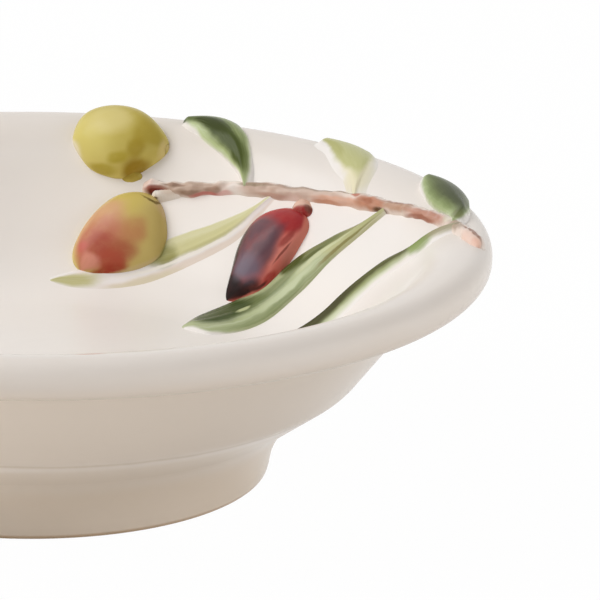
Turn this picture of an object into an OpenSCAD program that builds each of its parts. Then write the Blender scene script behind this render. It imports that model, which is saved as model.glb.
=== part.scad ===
// Olive dish: a round glazed bowl on a tall foot ring, with an olive sprig in relief round its inner wall.
// The origin is the centre of the foot on the table, +Z is up, and bearings run from +X towards +Y.

/* [Bowl] */
// Diameter over the rolled lip
rim_d = 170; // [150:1:210]
// Height from the table to the top of the lip
dish_h = 46; // [42:0.5:54]
// Radius of the lip's rounded edges
lip_r = 3.5; // [2.8:0.1:4]
// Height of the plain band between the lip's two rounded edges
lip_band_h = 0.6; // [0.2:0.1:2]
// Radius of the roll that leads from the inner wall up to the lip
roll_r = 12; // [8:0.5:16]
// Steepness of the inner wall in degrees
inner_angle = 48; // [44:1:52]
// Radius of the curve between the inner wall and the floor
well_r = 25; // [16:1:30]
// Thickness of the floor over the foot
floor_t = 4.5; // [3.5:0.1:6]
// Thickness of the wall under the lip
wall_t = 4.6; // [3.8:0.1:6]
// Steepness of the outer wall in degrees
outer_angle = 52; // [48:1:54]
// Radius of the hollow between the lip and the outer wall
cove_r = 6; // [3:0.5:8]
// Radius of the curve where the outer wall turns under the bowl
heel_r = 12; // [6:0.5:16]
// Height of the heel over the top of the foot
heel_h = 4; // [3:0.1:5]
// Steepness of the underside between the heel and the foot in degrees
underside_angle = 21; // [16:1:26]

/* [Foot] */
// Height of the foot up to the bowl's underside
foot_h = 14; // [11:0.5:17]
// Distance that the foot draws in from the bowl down to the table
foot_draw_in = 5.2; // [3:0.1:8]
// Radius of the hollow where the bowl's underside turns down into the foot
neck_r = 7; // [4:0.5:9]
// Thickness of the foot ring's wall
foot_t = 6.5; // [5:0.1:8]
// Radius of the foot ring's worn bottom edges
foot_edge_r = 1.4; // [0.6:0.1:2]

/* [Twig and stalks] */
// Width of the twig at its back end
twig_back_w = 2.1; // [1.6:0.1:2.6]
// Width of the twig at the end that turns over the lip
twig_lip_w = 2.4; // [1.6:0.1:2.8]
// Height of the twig over the wall
twig_rise = 1.4; // [0.8:0.1:2]
// Swelling of the twig at its knots
knot_swell = 0.3; // [0:0.05:0.5]
// Width of the olives' stalks
stalk_w = 1.6; // [1:0.1:2]
// Height of the stalks over the wall
stalk_rise = 1.2; // [0.8:0.1:2]
// Width of the swollen cap on top of the dark olive
cap_w = 2.4; // [1.6:0.1:2.8]
// Height of the swollen cap over the wall
cap_rise = 2.2; // [1.2:0.1:3]
// Gap between the twig and what grows from it
twig_gap = 0.2; // [0.1:0.05:0.5]
// Thickness of the twig, the stalks and the olives along their edges
root_t = 0.3; // [0.2:0.05:0.5]

/* [Olives] */
// Width of the green olive
green_olive_w = 15.6; // [12:0.1:16.5]
// Height of the green olive over the wall
green_olive_rise = 6.2; // [4:0.1:7]
// Width of the blush olive
blush_olive_w = 15; // [11:0.1:15.4]
// Height of the blush olive over the wall
blush_olive_rise = 6; // [4:0.1:7]
// Width of the dark olive
dark_olive_w = 13.4; // [9:0.1:13.8]
// Height of the dark olive over the wall
dark_olive_rise = 6; // [3.5:0.1:6.5]
// Width of the point at each olive's tip
olive_tip_w = 1.4; // [0.8:0.1:2]
// Gap between an olive and what lies beside it
olive_gap = 0.2; // [0.1:0.05:0.5]

/* [Leaves] */
// Width of the dark leaf at the back of the rim
back_dark_leaf_w = 8; // [5:0.1:9]
// Width of the pale leaf that folds over the rim
back_pale_leaf_w = 9.2; // [5:0.1:9.5]
// Width of the leaf along the lip
rim_tip_leaf_w = 6.6; // [4.5:0.1:7]
// Width of the long leaf under the blush olive
long_pale_leaf_w = 7.4; // [5:0.1:8]
// Width of the long leaf under the dark olive
under_olive_leaf_w = 10.6; // [6:0.1:11]
// Width of the leaf at the front
front_leaf_w = 5.6; // [4:0.1:8]
// Height of the leaves over the rim
rim_leaf_rise = 2.3; // [1:0.1:2.6]
// Height of the leaves over the wall
wall_leaf_rise = 1.3; // [0.8:0.1:1.8]
// Thickness of the leaves along their edges
leaf_edge_t = 0.6; // [0.3:0.1:0.8]
// Height of the midrib over its leaf
midrib_rise = 0.25; // [0:0.05:0.4]
// Width of a leaf's stem end and of its tip
leaf_end_w = 0.9; // [0.5:0.1:1.2]

/* [Hidden] */

$fn = 96;

// Colours of the glaze
cream_glaze = [0.90, 0.87, 0.82];
bark_glaze = [0.72, 0.60, 0.50];
green_olive_glaze = [0.75, 0.68, 0.32];
blush_olive_glaze = [0.72, 0.47, 0.33];
dark_olive_glaze = [0.38, 0.24, 0.25];
dark_leaf_glaze = [0.30, 0.34, 0.18];
pale_leaf_glaze = [0.72, 0.72, 0.50];

// Degrees in one radian
degrees = 180 / PI;
// Film of slip under each piece of the sprig
slip_gap = 0.1;
// Steps along a quarter of a turn on the dish's round edges
quarter_steps = 24;
// Stations along each kind of piece, and columns across it
leaf_stations = 22;
leaf_columns = 9;
olive_stations = 20;
olive_columns = 13;
twig_stations = 64;
stalk_stations = 6;
stem_columns = 7;
// Halvings in the search for a leaf's free edge beside an olive or the twig
edge_halvings = 9;

// Inner face of the bowl, from the top of the lip down to the floor
rim_r = rim_d / 2;
ridge_r = rim_r - lip_r;
floor_z = foot_h + floor_t;
wall_top_r = ridge_r - roll_r * sin(inner_angle);
wall_top_z = dish_h - roll_r * (1 - cos(inner_angle));
wall_foot_z = floor_z + well_r * (1 - cos(inner_angle));
wall_l = (wall_top_z - wall_foot_z) / sin(inner_angle);
wall_foot_r = wall_top_r - wall_l * cos(inner_angle);
floor_r = wall_foot_r - well_r * sin(inner_angle);

// Slant distances below the top of the lip: end of the roll, end of the straight wall, edge of the floor
roll_end_s = roll_r * inner_angle / degrees;
wall_end_s = roll_end_s + wall_l;
slant_l = wall_end_s + well_r * inner_angle / degrees;

// Outer face of the bowl: the corners that its curves round off
lip_bottom_z = dish_h - 2 * lip_r - lip_band_h;
outer_top_r = wall_top_r + wall_t * sin(inner_angle)
    + (lip_bottom_z - wall_top_z + wall_t * cos(inner_angle)) / tan(outer_angle);
heel_z = foot_h + heel_h;
heel_corner_r = outer_top_r - (lip_bottom_z - heel_z) / tan(outer_angle);

// Foot, set in from the heel by the underside, and the neck that rounds the corner between the two.
// The foot ring meets the bowl where the neck ends.
foot_top_r = heel_corner_r - heel_h / tan(underside_angle);
foot_bottom_r = foot_top_r - foot_draw_in;
foot_angle = atan2(foot_h, foot_draw_in);
neck_reach = neck_r * tan((foot_angle - underside_angle) / 2);
ring_top_r = foot_top_r - neck_reach * cos(foot_angle);
ring_top_z = foot_h - neck_reach * sin(foot_angle);

// Points on an arc from one angle to another, in degrees
function arc(centre, r, from, to) =
    let (steps = max(2, ceil(abs(to - from) / 90 * quarter_steps)))
    [for (i = [0 : steps]) let (a = from + (to - from) * i / steps) centre + r * [cos(a), sin(a)]];

// Centre of a curve of radius r that rounds a corner between the way in and the way out, in degrees
function corner_centre(corner, r, way_in, way_out, side) =
    let (reach = r * tan(abs(way_out - way_in) / 2))
    corner - reach * [cos(way_in), sin(way_in)] + side * r * [-sin(way_in), cos(way_in)];

// Slope of the inner face in degrees, a slant distance s below the top of the lip
function slope_at(s) =
    s < 0 ? s / lip_r * degrees
    : s < roll_end_s ? s / roll_r * degrees
    : s < wall_end_s ? inner_angle
    : s < slant_l ? (slant_l - s) / well_r * degrees
    : 0;

// Radius of the inner face, a slant distance s below the top of the lip
function radius_at(s) =
    s < 0 ? ridge_r - lip_r * sin(slope_at(s))
    : s < roll_end_s ? ridge_r - roll_r * sin(slope_at(s))
    : s < wall_end_s ? wall_top_r - (s - roll_end_s) * cos(inner_angle)
    : s < slant_l ? floor_r + well_r * sin(slope_at(s))
    : floor_r - (s - slant_l);

// Height of the inner face, a slant distance s below the top of the lip
function height_at(s) =
    s < 0 ? dish_h - lip_r * (1 - cos(slope_at(s)))
    : s < roll_end_s ? dish_h - roll_r * (1 - cos(slope_at(s)))
    : s < wall_end_s ? wall_top_z - (s - roll_end_s) * sin(inner_angle)
    : floor_z + well_r * (1 - cos(slope_at(s)));

// A place on the inner face is a bearing in degrees and a slant distance. This lifts it along the normal.
function lifted(place, lift) =
    let (
        slope = slope_at(place[1]),
        r = radius_at(place[1]) - lift * sin(slope)
    )
    [r * cos(place[0]), r * sin(place[0]), height_at(place[1]) + lift * cos(slope)];

// Smooth curve through the places of a route, at a share t of its steps
function along(route, t) =
    let (
        last = len(route) - 1,
        i = min(floor(t * last), last - 1),
        u = t * last - i,
        b = route[i],
        c = route[i + 1],
        a = i > 0 ? route[i - 1] : 2 * b - c,
        d = i < last - 1 ? route[i + 2] : 2 * c - b
    )
    b + (c - a) * u / 2 + (2 * a - 5 * b + 4 * c - d) * u * u / 2 + (3 * b - a - 3 * c + d) * u * u * u / 2;

// Unit heading of a route on the wall: round the dish first, then down the slant
heading_step_share = 0.01;
function heading(route, t) =
    let (
        from = along(route, max(0, t - heading_step_share)),
        to = along(route, min(1, t + heading_step_share)),
        way = [(to[0] - from[0]) / degrees * radius_at(along(route, t)[1]), to[1] - from[1]]
    )
    way / norm(way);

// Place near a route at a share t: ahead of it, and beside it.
// Beside is towards the floor where the route runs to higher bearings.
function near(route, t, ahead, offset) =
    let (
        p = along(route, t),
        way = heading(route, t),
        s = p[1] + ahead * way[1] + offset * way[0]
    )
    [p[0] + (ahead * way[0] - offset * way[1]) / radius_at(s) * degrees, s];
function beside(route, t, offset) = near(route, t, 0, offset);

// Distance on the wall between two places
function apart(p, q) =
    norm([(p[0] - q[0]) / degrees * (radius_at(p[1]) + radius_at(q[1])) / 2, p[1] - q[1]]);

// Swell of a form from end to end: 0 at both ends and 1 at peak_share, fuller for a lower full_share
function swelling(t, peak_share, full_share) = pow(sin(180 * pow(t, ln(0.5) / ln(peak_share))), full_share);

// Shares along a piece, closer together at its ends
function station_shares(stations) = [for (i = [0 : stations - 1]) (1 - cos(180 * i / (stations - 1))) / 2];

// Shares along a piece, evenly spaced
function even_shares(stations) = [for (i = [0 : stations - 1]) i / (stations - 1)];

// Routes are written as bearings and shares of the slant from the lip to the floor
function on_slant(shares) = [for (p = shares) [p[0], p[1] * slant_l]];

// Twig, with a knot at each share of its length where something grows from it
blush_olive_knot_share = 0.075;
back_dark_leaf_knot_share = 0.21;
long_pale_leaf_knot_share = 0.28;
dark_olive_knot_share = 0.36;
back_pale_leaf_knot_share = 0.47;
under_olive_leaf_knot_share = 0.57;
rim_tip_leaf_knot_share = 0.82;
front_leaf_knot_share = 0.85;
knot_length_share = 0.018;
twig_knot_shares = [
    blush_olive_knot_share, back_dark_leaf_knot_share, long_pale_leaf_knot_share, dark_olive_knot_share,
    back_pale_leaf_knot_share, under_olive_leaf_knot_share, rim_tip_leaf_knot_share, front_leaf_knot_share
];
twig_shares = [
    [74, 0.358], [66, 0.346], [58, 0.310], [50, 0.287], [42, 0.262], [34, 0.228],
    [26, 0.196], [18, 0.152], [11, 0.110], [4, 0.062], [-1, 0.020], [-6, -0.030]
];
twig_route = on_slant(twig_shares);
function knot(t) =
    1 + knot_swell * max([for (k = twig_knot_shares) exp(-pow((t - k) / knot_length_share, 2))]);
function twig_half(t) = (twig_back_w + (twig_lip_w - twig_back_w) * t) / 2 * knot(t);

// Place beside the twig where something grows from it: side is 1 towards the lip and -1 towards the floor
function twig_side(t, side, room = 0) = beside(twig_route, t, side * (twig_half(t) + twig_gap + room));

// Olives: route from stalk end to tip, width, share of the length where they are widest
olive_full_share = 0.55;
green_olive_peak_share = 0.5;
blush_olive_peak_share = 0.48;
dark_olive_peak_share = 0.46;
green_olive_shares = [[71.2, 0.195], [78.9, 0.180], [86.6, 0.172]];
blush_olive_shares = [[70.8, 0.404], [76.0, 0.570], [82.4, 0.745]];
dark_olive_shares = [[42.6, 0.338], [44.4, 0.552], [46.1, 0.775]];
green_fruit = [on_slant(green_olive_shares), green_olive_w, green_olive_peak_share];
blush_fruit = [on_slant(blush_olive_shares), blush_olive_w, blush_olive_peak_share];
dark_fruit = [on_slant(dark_olive_shares), dark_olive_w, dark_olive_peak_share];
function olive_half(fruit, t) = max(olive_tip_w, fruit[1] * swelling(t, fruit[2], olive_full_share)) / 2;

// Round patches of wall that are taken by the olives and the twig, with their gaps: place and radius
taken_patches = concat(
    [
        for (fruit = [green_fruit, blush_fruit, dark_fruit])
            for (t = station_shares(olive_stations))
                [along(fruit[0], t), olive_half(fruit, t) + 2 * olive_gap]
    ],
    [for (t = station_shares(twig_stations)) [along(twig_route, t), twig_half(t) + twig_gap]]
);
function is_taken(place) = max([for (patch = taken_patches) patch[1] - apart(place, patch[0])]) > 0;

// Half width of a leaf on one side of its route, drawn back where an olive or the twig lies
function free_half(route, t, side, free, wanted, halvings) =
    let (middle = (free + wanted) / 2)
    halvings == 0 ? free
    : is_taken(beside(route, t, side * middle)) ? free_half(route, t, side, free, middle, halvings - 1)
    : free_half(route, t, side, middle, wanted, halvings - 1);
function leaf_half(route, t, side, w, peak_share, full_share) =
    let (wanted = max(leaf_end_w, w * swelling(t, peak_share, full_share)) / 2)
    !is_taken(beside(route, t, side * wanted)) ? wanted
    : max(slip_gap, free_half(route, t, side, 0, wanted, edge_halvings));

// Routes of the stalks, from the twig to their olives
green_stalk_meets_share = 0.34;
blush_stalk_shares = [[69.2, 0.402]];
green_stalk_route = [
    near(twig_route, 0, -2 * twig_gap, 0),
    beside(green_fruit[0], green_stalk_meets_share,
        olive_half(green_fruit, green_stalk_meets_share) + olive_gap + stalk_w / 2)
];
blush_stalk_route = concat(
    [twig_side(blush_olive_knot_share, -1, stalk_w / 2)],
    on_slant(blush_stalk_shares),
    [near(blush_fruit[0], 0, -4.5 * olive_gap, 0)]
);
dark_stalk_route = [
    twig_side(dark_olive_knot_share, -1, 2 * twig_gap),
    near(dark_fruit[0], 0, -2 * olive_gap - cap_w / 4, 0),
    near(dark_fruit[0], 0, -2 * olive_gap, 0)
];

// Routes of the leaves, after their start at the twig
back_dark_leaf_shares = [[59, 0.170], [63.5, 0.080], [67, 0.035], [71, 0.035]];
back_pale_leaf_shares = [[36.5, 0.110], [40.5, 0.058], [45, 0.010], [49.5, -0.015]];
rim_tip_leaf_shares = [[8.5, 0.018], [14, 0.012], [20, 0.003], [26, 0.008]];
long_pale_leaf_shares = [[54.5, 0.470], [61, 0.590], [70, 0.700], [80, 0.775], [89, 0.800]];
under_olive_leaf_shares = [[28, 0.360], [32, 0.490], [34.2, 0.630], [36, 0.760], [40.2, 0.905], [45.2, 1.03]];
front_leaf_shares = [[4.4, 0.245], [9.0, 0.385], [11.9, 0.530], [13.2, 0.685], [14.1, 0.835], [14.4, 0.955]];

// A piece of the sprig: the wall along a route, from a film of slip up to a rise over it.
// low_halves and high_halves are its half widths at each share, towards the floor and towards the lip
// where the route runs to higher bearings. rise gives its height at a share t and at a column a,
// which runs from -1 to 1 across it.
module relief(route, shares, columns, low_halves, high_halves, rise) {
    last = len(shares) - 1;
    edge = columns - 1;
    count = len(shares) * columns;
    function at(i, j) = i * columns + j;
    function sheet(raised) = [
        for (i = [0 : last])
            for (j = [0 : edge])
                let (
                    a = -cos(180 * j / edge),
                    offset = a * (a < 0 ? high_halves[i] : low_halves[i])
                )
                lifted(beside(route, shares[i], offset), slip_gap + (raised ? rise(shares[i], a) : 0))
    ];
    function wall(p, q) = [[p, q + count, q], [p, p + count, q + count]];
    top_faces = [
        for (i = [0 : last - 1])
            for (j = [0 : edge - 1])
                each [[at(i, j), at(i + 1, j + 1), at(i + 1, j)], [at(i, j), at(i, j + 1), at(i + 1, j + 1)]]
    ];
    under_faces = [for (face = top_faces) [face[0] + count, face[2] + count, face[1] + count]];
    side_faces = [
        for (i = [0 : last - 1]) each wall(at(i + 1, 0), at(i, 0)),
        for (i = [0 : last - 1]) each wall(at(i, edge), at(i + 1, edge)),
        for (j = [0 : edge - 1]) each wall(at(0, j), at(0, j + 1)),
        for (j = [0 : edge - 1]) each wall(at(last, j + 1), at(last, j))
    ];
    polyhedron(
        points = concat(sheet(true), sheet(false)),
        faces = concat(top_faces, under_faces, side_faces),
        convexity = 6
    );
}

// A crowned leaf with a midrib, from its start at the twig to its tip
module leaf(start, tip_shares, w, rise, peak_share, full_share) {
    route = concat([start], on_slant(tip_shares));
    shares = station_shares(leaf_stations);
    relief(
        route, shares, leaf_columns,
        [for (t = shares) leaf_half(route, t, 1, w, peak_share, full_share)],
        [for (t = shares) leaf_half(route, t, -1, w, peak_share, full_share)],
        function (t, a)
            leaf_edge_t + (rise - leaf_edge_t) * (1 - a * a) * swelling(t, peak_share, full_share)
                + (abs(a) * leaf_columns < 1 ? midrib_rise * sin(180 * t) : 0)
    );
}

// An ovoid olive that stands half out of the wall
module olive(fruit, rise) {
    shares = station_shares(olive_stations);
    halves = [for (t = shares) olive_half(fruit, t)];
    relief(
        fruit[0], shares, olive_columns, halves, halves,
        function (t, a)
            root_t + (rise - root_t) * 2 * olive_half(fruit, t) / fruit[1] * sqrt(max(0, 1 - a * a))
    );
}

// A half round stem of given half widths that changes evenly in height from one end to the other
module stem(route, shares, halves, from_rise, to_rise) {
    relief(
        route, shares, stem_columns, halves, halves,
        function (t, a) root_t + (from_rise + (to_rise - from_rise) * t - root_t) * sqrt(max(0, 1 - a * a))
    );
}

// A stalk that changes evenly in width from the twig to its olive
module stalk(route, to_w, to_rise) {
    shares = even_shares(stalk_stations);
    stem(route, shares, [for (t = shares) (stalk_w + (to_w - stalk_w) * t) / 2], stalk_rise, to_rise);
}

// Bowl with its flared wall and rolled lip, down to the neck over its foot
module dish_body() {
    lip_upper = [ridge_r, dish_h - lip_r];
    lip_lower = [ridge_r, lip_bottom_z + lip_r];
    outer_top = [outer_top_r, lip_bottom_z];
    heel = [heel_corner_r, heel_z];
    wall_way = 180 + outer_angle;
    underside_way = 180 + underside_angle;
    foot_way = 180 + foot_angle;
    foot_corner = [foot_top_r, foot_h];
    color(cream_glaze)
        rotate_extrude()
            polygon(concat(
                [[0, floor_z]],
                arc([floor_r, floor_z + well_r], well_r, -90, inner_angle - 90),
                arc([ridge_r, dish_h - roll_r], roll_r, 90 + inner_angle, 90),
                arc(lip_upper, lip_r, 90, 0),
                arc(lip_lower, lip_r, 0, -90),
                arc(corner_centre(outer_top, cove_r, 180, wall_way, 1), cove_r, 90, 90 + outer_angle),
                arc(corner_centre(heel, heel_r, wall_way, underside_way, -1), heel_r,
                    outer_angle - 90, underside_angle - 90),
                arc(corner_centre(foot_corner, neck_r, underside_way, foot_way, 1), neck_r,
                    90 + underside_angle, 90 + foot_angle),
                [[ring_top_r - foot_t, ring_top_z], [foot_top_r - foot_t, foot_h], [0, foot_h]]
            ));
}

// Ring under the bowl's neck, drawn in towards the table
module foot_ring() {
    outer_edge = [foot_bottom_r - foot_edge_r, foot_edge_r];
    inner_edge = [foot_bottom_r - foot_t + foot_edge_r, foot_edge_r];
    color(cream_glaze)
        rotate_extrude()
            polygon(concat(
                [[ring_top_r, ring_top_z]],
                arc(outer_edge, foot_edge_r, 0, -90),
                arc(inner_edge, foot_edge_r, -90, -180),
                [[ring_top_r - foot_t, ring_top_z]]
            ));
}

// Twig from the back of the wall to the lip
module main_twig() {
    shares = station_shares(twig_stations);
    color(bark_glaze)
        stem(twig_route, shares, [for (t = shares) twig_half(t)], twig_rise, twig_rise);
}

// Stalk between the twig's back end and the green olive
module green_olive_stalk() {
    color(bark_glaze)
        stalk(green_stalk_route, stalk_w, stalk_rise);
}

// Stalk that leaves the twig for the blush olive
module blush_olive_stalk() {
    color(bark_glaze)
        stalk(blush_stalk_route, stalk_w, stalk_rise);
}

// Stalk of the dark olive, swollen into a cap where it meets the fruit
module dark_olive_stalk() {
    color(dark_olive_glaze)
        stalk(dark_stalk_route, cap_w, cap_rise);
}

// Green olive that stands over the back of the rim
module green_olive() {
    color(green_olive_glaze)
        olive(green_fruit, green_olive_rise);
}

// Half ripe olive below the twig's back end
module blush_olive() {
    color(blush_olive_glaze)
        olive(blush_fruit, blush_olive_rise);
}

// Ripe olive below the middle of the twig
module dark_olive() {
    color(dark_olive_glaze)
        olive(dark_fruit, dark_olive_rise);
}

// Dark leaf that climbs over the back rim
module back_dark_leaf() {
    color(dark_leaf_glaze)
        leaf(twig_side(back_dark_leaf_knot_share, 1), back_dark_leaf_shares, back_dark_leaf_w, rim_leaf_rise,
            peak_share = 0.6, full_share = 0.7);
}

// Pale leaf that folds over the rim
module back_pale_leaf() {
    color(pale_leaf_glaze)
        leaf(twig_side(back_pale_leaf_knot_share, 1), back_pale_leaf_shares, back_pale_leaf_w, rim_leaf_rise,
            peak_share = 0.55, full_share = 0.7);
}

// Dark leaf along the lip
module rim_tip_leaf() {
    color(dark_leaf_glaze)
        leaf(twig_side(rim_tip_leaf_knot_share, 1), rim_tip_leaf_shares, rim_tip_leaf_w, rim_leaf_rise,
            peak_share = 0.58, full_share = 0.7);
}

// Long pale leaf whose upper side passes under the blush olive
module long_pale_leaf() {
    color(pale_leaf_glaze)
        leaf(twig_side(long_pale_leaf_knot_share, -1), long_pale_leaf_shares, long_pale_leaf_w,
            wall_leaf_rise, peak_share = 0.42, full_share = 0.85);
}

// Long leaf whose upper side passes under the dark olive
module under_olive_leaf() {
    color(dark_leaf_glaze)
        leaf(twig_side(under_olive_leaf_knot_share, -1), under_olive_leaf_shares, under_olive_leaf_w,
            wall_leaf_rise, peak_share = 0.66, full_share = 0.7);
}

// Leaf that runs down the wall behind the front of the lip
module front_leaf() {
    color(dark_leaf_glaze)
        leaf(twig_side(front_leaf_knot_share, -1), front_leaf_shares, front_leaf_w, wall_leaf_rise,
            peak_share = 0.55, full_share = 0.85);
}

dish_body();
foot_ring();
main_twig();
green_olive_stalk();
blush_olive_stalk();
dark_olive_stalk();
green_olive();
blush_olive();
dark_olive();
back_dark_leaf();
back_pale_leaf();
rim_tip_leaf();
long_pale_leaf();
under_olive_leaf();
front_leaf();
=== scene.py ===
# %% [markdown]
# # An olive dish, moulded, painted and glazed
#
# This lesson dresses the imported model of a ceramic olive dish: a round bowl on a tall foot ring, with an
# olive sprig in relief round its inner wall. On the real dish everything is one fired piece, but a potter
# forms it in steps, and so does the lesson: throw the bowl, turn the foot, lay the sprig on the wall,
# paint it, glaze it all. The pieces could be modelled anywhere and moved together at the end. Here the
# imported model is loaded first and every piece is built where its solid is, so nothing has to be moved.

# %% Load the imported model
import math

import bmesh
import bpy
from mathutils import Matrix, Vector, noise


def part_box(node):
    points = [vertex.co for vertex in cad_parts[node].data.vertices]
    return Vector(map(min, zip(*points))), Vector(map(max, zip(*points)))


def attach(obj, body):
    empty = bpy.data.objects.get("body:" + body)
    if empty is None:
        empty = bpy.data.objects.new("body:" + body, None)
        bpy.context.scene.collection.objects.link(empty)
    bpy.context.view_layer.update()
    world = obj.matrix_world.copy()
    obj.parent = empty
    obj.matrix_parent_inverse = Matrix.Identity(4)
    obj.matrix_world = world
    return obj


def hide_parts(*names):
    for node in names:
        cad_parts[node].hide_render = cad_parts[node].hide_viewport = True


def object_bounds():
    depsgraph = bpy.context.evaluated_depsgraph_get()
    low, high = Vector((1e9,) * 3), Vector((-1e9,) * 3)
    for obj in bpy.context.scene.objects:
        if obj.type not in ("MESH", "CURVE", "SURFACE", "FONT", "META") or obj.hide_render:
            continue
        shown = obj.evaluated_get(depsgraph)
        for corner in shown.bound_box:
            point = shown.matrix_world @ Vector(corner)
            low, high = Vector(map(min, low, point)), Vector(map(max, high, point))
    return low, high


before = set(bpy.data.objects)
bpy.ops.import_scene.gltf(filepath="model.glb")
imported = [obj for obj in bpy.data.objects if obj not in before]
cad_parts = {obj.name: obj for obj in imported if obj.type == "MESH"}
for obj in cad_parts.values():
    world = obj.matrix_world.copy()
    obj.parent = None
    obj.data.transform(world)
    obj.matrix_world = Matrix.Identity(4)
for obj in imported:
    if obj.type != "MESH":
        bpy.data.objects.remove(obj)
cad_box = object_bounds()
MM = 0.001
print(len(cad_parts), "nodes, box in mm:", [round(c / MM, 1) for corner in cad_box for c in corner])

# %% [markdown]
# ## The bowl's inner face as a map
#
# The whole sprig lies on the inner face of the bowl, so the face is described first. It is a surface of
# revolution: a round lip, a roll down from the lip, a straight slanted wall and a curve into the floor.
# The sprig could be placed by X, Y and Z, but then every place would have to be worked out on a curved
# wall. As on a map, two numbers are enough: a bearing round the dish, and a slant distance down from the
# top of the lip.

# %% Sizes of the bowl and its inner face
rim_radius = cad_box[1].x
dish_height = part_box("dish_body")[1].z
foot_height = 14 * MM
lip_radius = 3.5 * MM
lip_band = 0.6 * MM
roll_radius = 12 * MM
inner_slope = math.radians(48)
well_radius = 25 * MM
floor_thickness = 4.5 * MM

floor_height = foot_height + floor_thickness
ridge_radius = rim_radius - lip_radius
wall_top = Vector((ridge_radius - roll_radius * math.sin(inner_slope), 0,
                   dish_height - roll_radius * (1 - math.cos(inner_slope))))
wall_foot_height = floor_height + well_radius * (1 - math.cos(inner_slope))
wall_length = (wall_top.z - wall_foot_height) / math.sin(inner_slope)
floor_radius = wall_top.x - wall_length * math.cos(inner_slope) - well_radius * math.sin(inner_slope)
roll_end = roll_radius * inner_slope
wall_end = roll_end + wall_length
slant_length = wall_end + well_radius * inner_slope
print("slant from lip to floor in mm:", round(slant_length / MM, 2))

# %% [markdown]
# ## From the map to the wall
#
# A leaf that is drawn on the map has to end up on the curved face, and at its own height over the glaze.
# A Shrinkwrap modifier could press flat pieces onto the bowl, but it bunches up thin edges and flattens
# the relief. The face is only arcs and a straight wall, so a little trigonometry gives the exact point
# for any place, and a third number lifts it off the face along the normal.

# %% Places on the inner face
def slope_at(slant):
    """Slope of the inner face in radians, a slant distance below the top of the lip."""
    if slant < 0:
        return slant / lip_radius
    if slant < roll_end:
        return slant / roll_radius
    if slant < wall_end:
        return inner_slope
    return max(0.0, (slant_length - slant) / well_radius)


def face_at(slant):
    """Radius and height of the inner face, a slant distance below the top of the lip."""
    slope = slope_at(slant)
    if slant < roll_end:
        round_off = lip_radius if slant < 0 else roll_radius
        return ridge_radius - round_off * math.sin(slope), dish_height - round_off * (1 - math.cos(slope))
    if slant < wall_end:
        run = slant - roll_end
        return wall_top.x - run * math.cos(inner_slope), wall_top.z - run * math.sin(inner_slope)
    past_floor_edge = max(0.0, slant - slant_length)
    return (floor_radius + well_radius * math.sin(slope) - past_floor_edge,
            floor_height + well_radius * (1 - math.cos(slope)))


def on_wall(bearing, slant, lift):
    """Point over the inner face at a bearing in degrees and a slant, lifted along the normal."""
    radius, height = face_at(slant)
    slope = slope_at(slant)
    radius -= lift * math.sin(slope)
    turn = math.radians(bearing)
    return Vector((radius * math.cos(turn), radius * math.sin(turn), height + lift * math.cos(slope)))


print("back of the lip in mm:", [round(c / MM, 1) for c in on_wall(90, 0, 0)])

# %% [markdown]
# ## Smooth curves through a few values
#
# Nothing on a moulded sprig has a corner: a leaf swells and narrows smoothly from stem to tip. A Bezier
# curve could describe that, but its handles add two points for every value. The curve used here runs
# through the given values by itself, so the width of a leaf stays a short list that can be read in
# millimetres.

# %% A smooth curve through values
def through(a, b, c, d, u):
    """Value a share u of the way from b to c, on a smooth curve that also heeds a before and d after."""
    return (b + (c - a) * (u / 2) + (2 * a - 5 * b + 4 * c - d) * (u * u / 2)
            + (3 * b - a - 3 * c + d) * (u ** 3 / 2))


def eased(values, share):
    """Value at a share of the way along evenly spaced values, on a smooth curve through them."""
    last = len(values) - 1
    span = max(0, min(int(share * last), last - 1))
    before, after = max(span - 1, 0), min(span + 2, last)
    return through(values[before], values[span], values[span + 1], values[after], share * last - span)


print("a quarter of the way through 0, 1, 0 the curve is at", eased((0, 1, 0), 0.25))

# %% [markdown]
# ## Routes over the wall
#
# Each leaf, stalk and olive follows a route: a smooth curve through a few places on the map, close to the
# ones that its solid follows. A curve object could carry a profile along such a line, but it knows
# nothing of the wall beside it. So a small class walks along a route and steps to either side of it on
# the map. A piece can then be drawn in two simple numbers: how far along, and how far beside.

# %% A route over the wall
class Route:
    """A smooth curve through places given as a bearing and a share of the slant from lip to floor."""

    def __init__(self, *places):
        self.spans = len(places) - 1
        self.places = [Vector((bearing, share * slant_length)) for bearing, share in places]
        self.places.insert(0, 2 * self.places[0] - self.places[1])
        self.places.append(2 * self.places[-1] - self.places[-2])

    def at(self, share):
        """Place at a share of the way."""
        span = max(0, min(int(share * self.spans), self.spans - 1))
        return through(*self.places[span:span + 4], share * self.spans - span)

    def heading(self, share, step=0.01):
        """Unit heading on the wall: round the dish, then down the slant."""
        before, after = self.at(max(0, share - step)), self.at(min(1, share + step))
        radius = face_at(self.at(share).y)[0]
        return Vector((math.radians(after.x - before.x) * radius, after.y - before.y)).normalized()

    def beside(self, share, offset, lift):
        """Point beside the route. An offset is towards the floor where bearings rise along the route."""
        place, way = self.at(share), self.heading(share)
        slant = place.y + offset * way.x
        bearing = place.x - math.degrees(offset * way.y / face_at(slant)[0])
        return on_wall(bearing, slant, lift)

    def length(self, steps=40):
        """Length of the route on the bare wall."""
        points = [self.beside(i / steps, 0, 0) for i in range(steps + 1)]
        return sum((q - p).length for p, q in zip(points, points[1:]))


print("a quarter of the lip in mm:", round(Route((0, 0), (45, 0), (90, 0)).length() / MM, 1))
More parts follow.
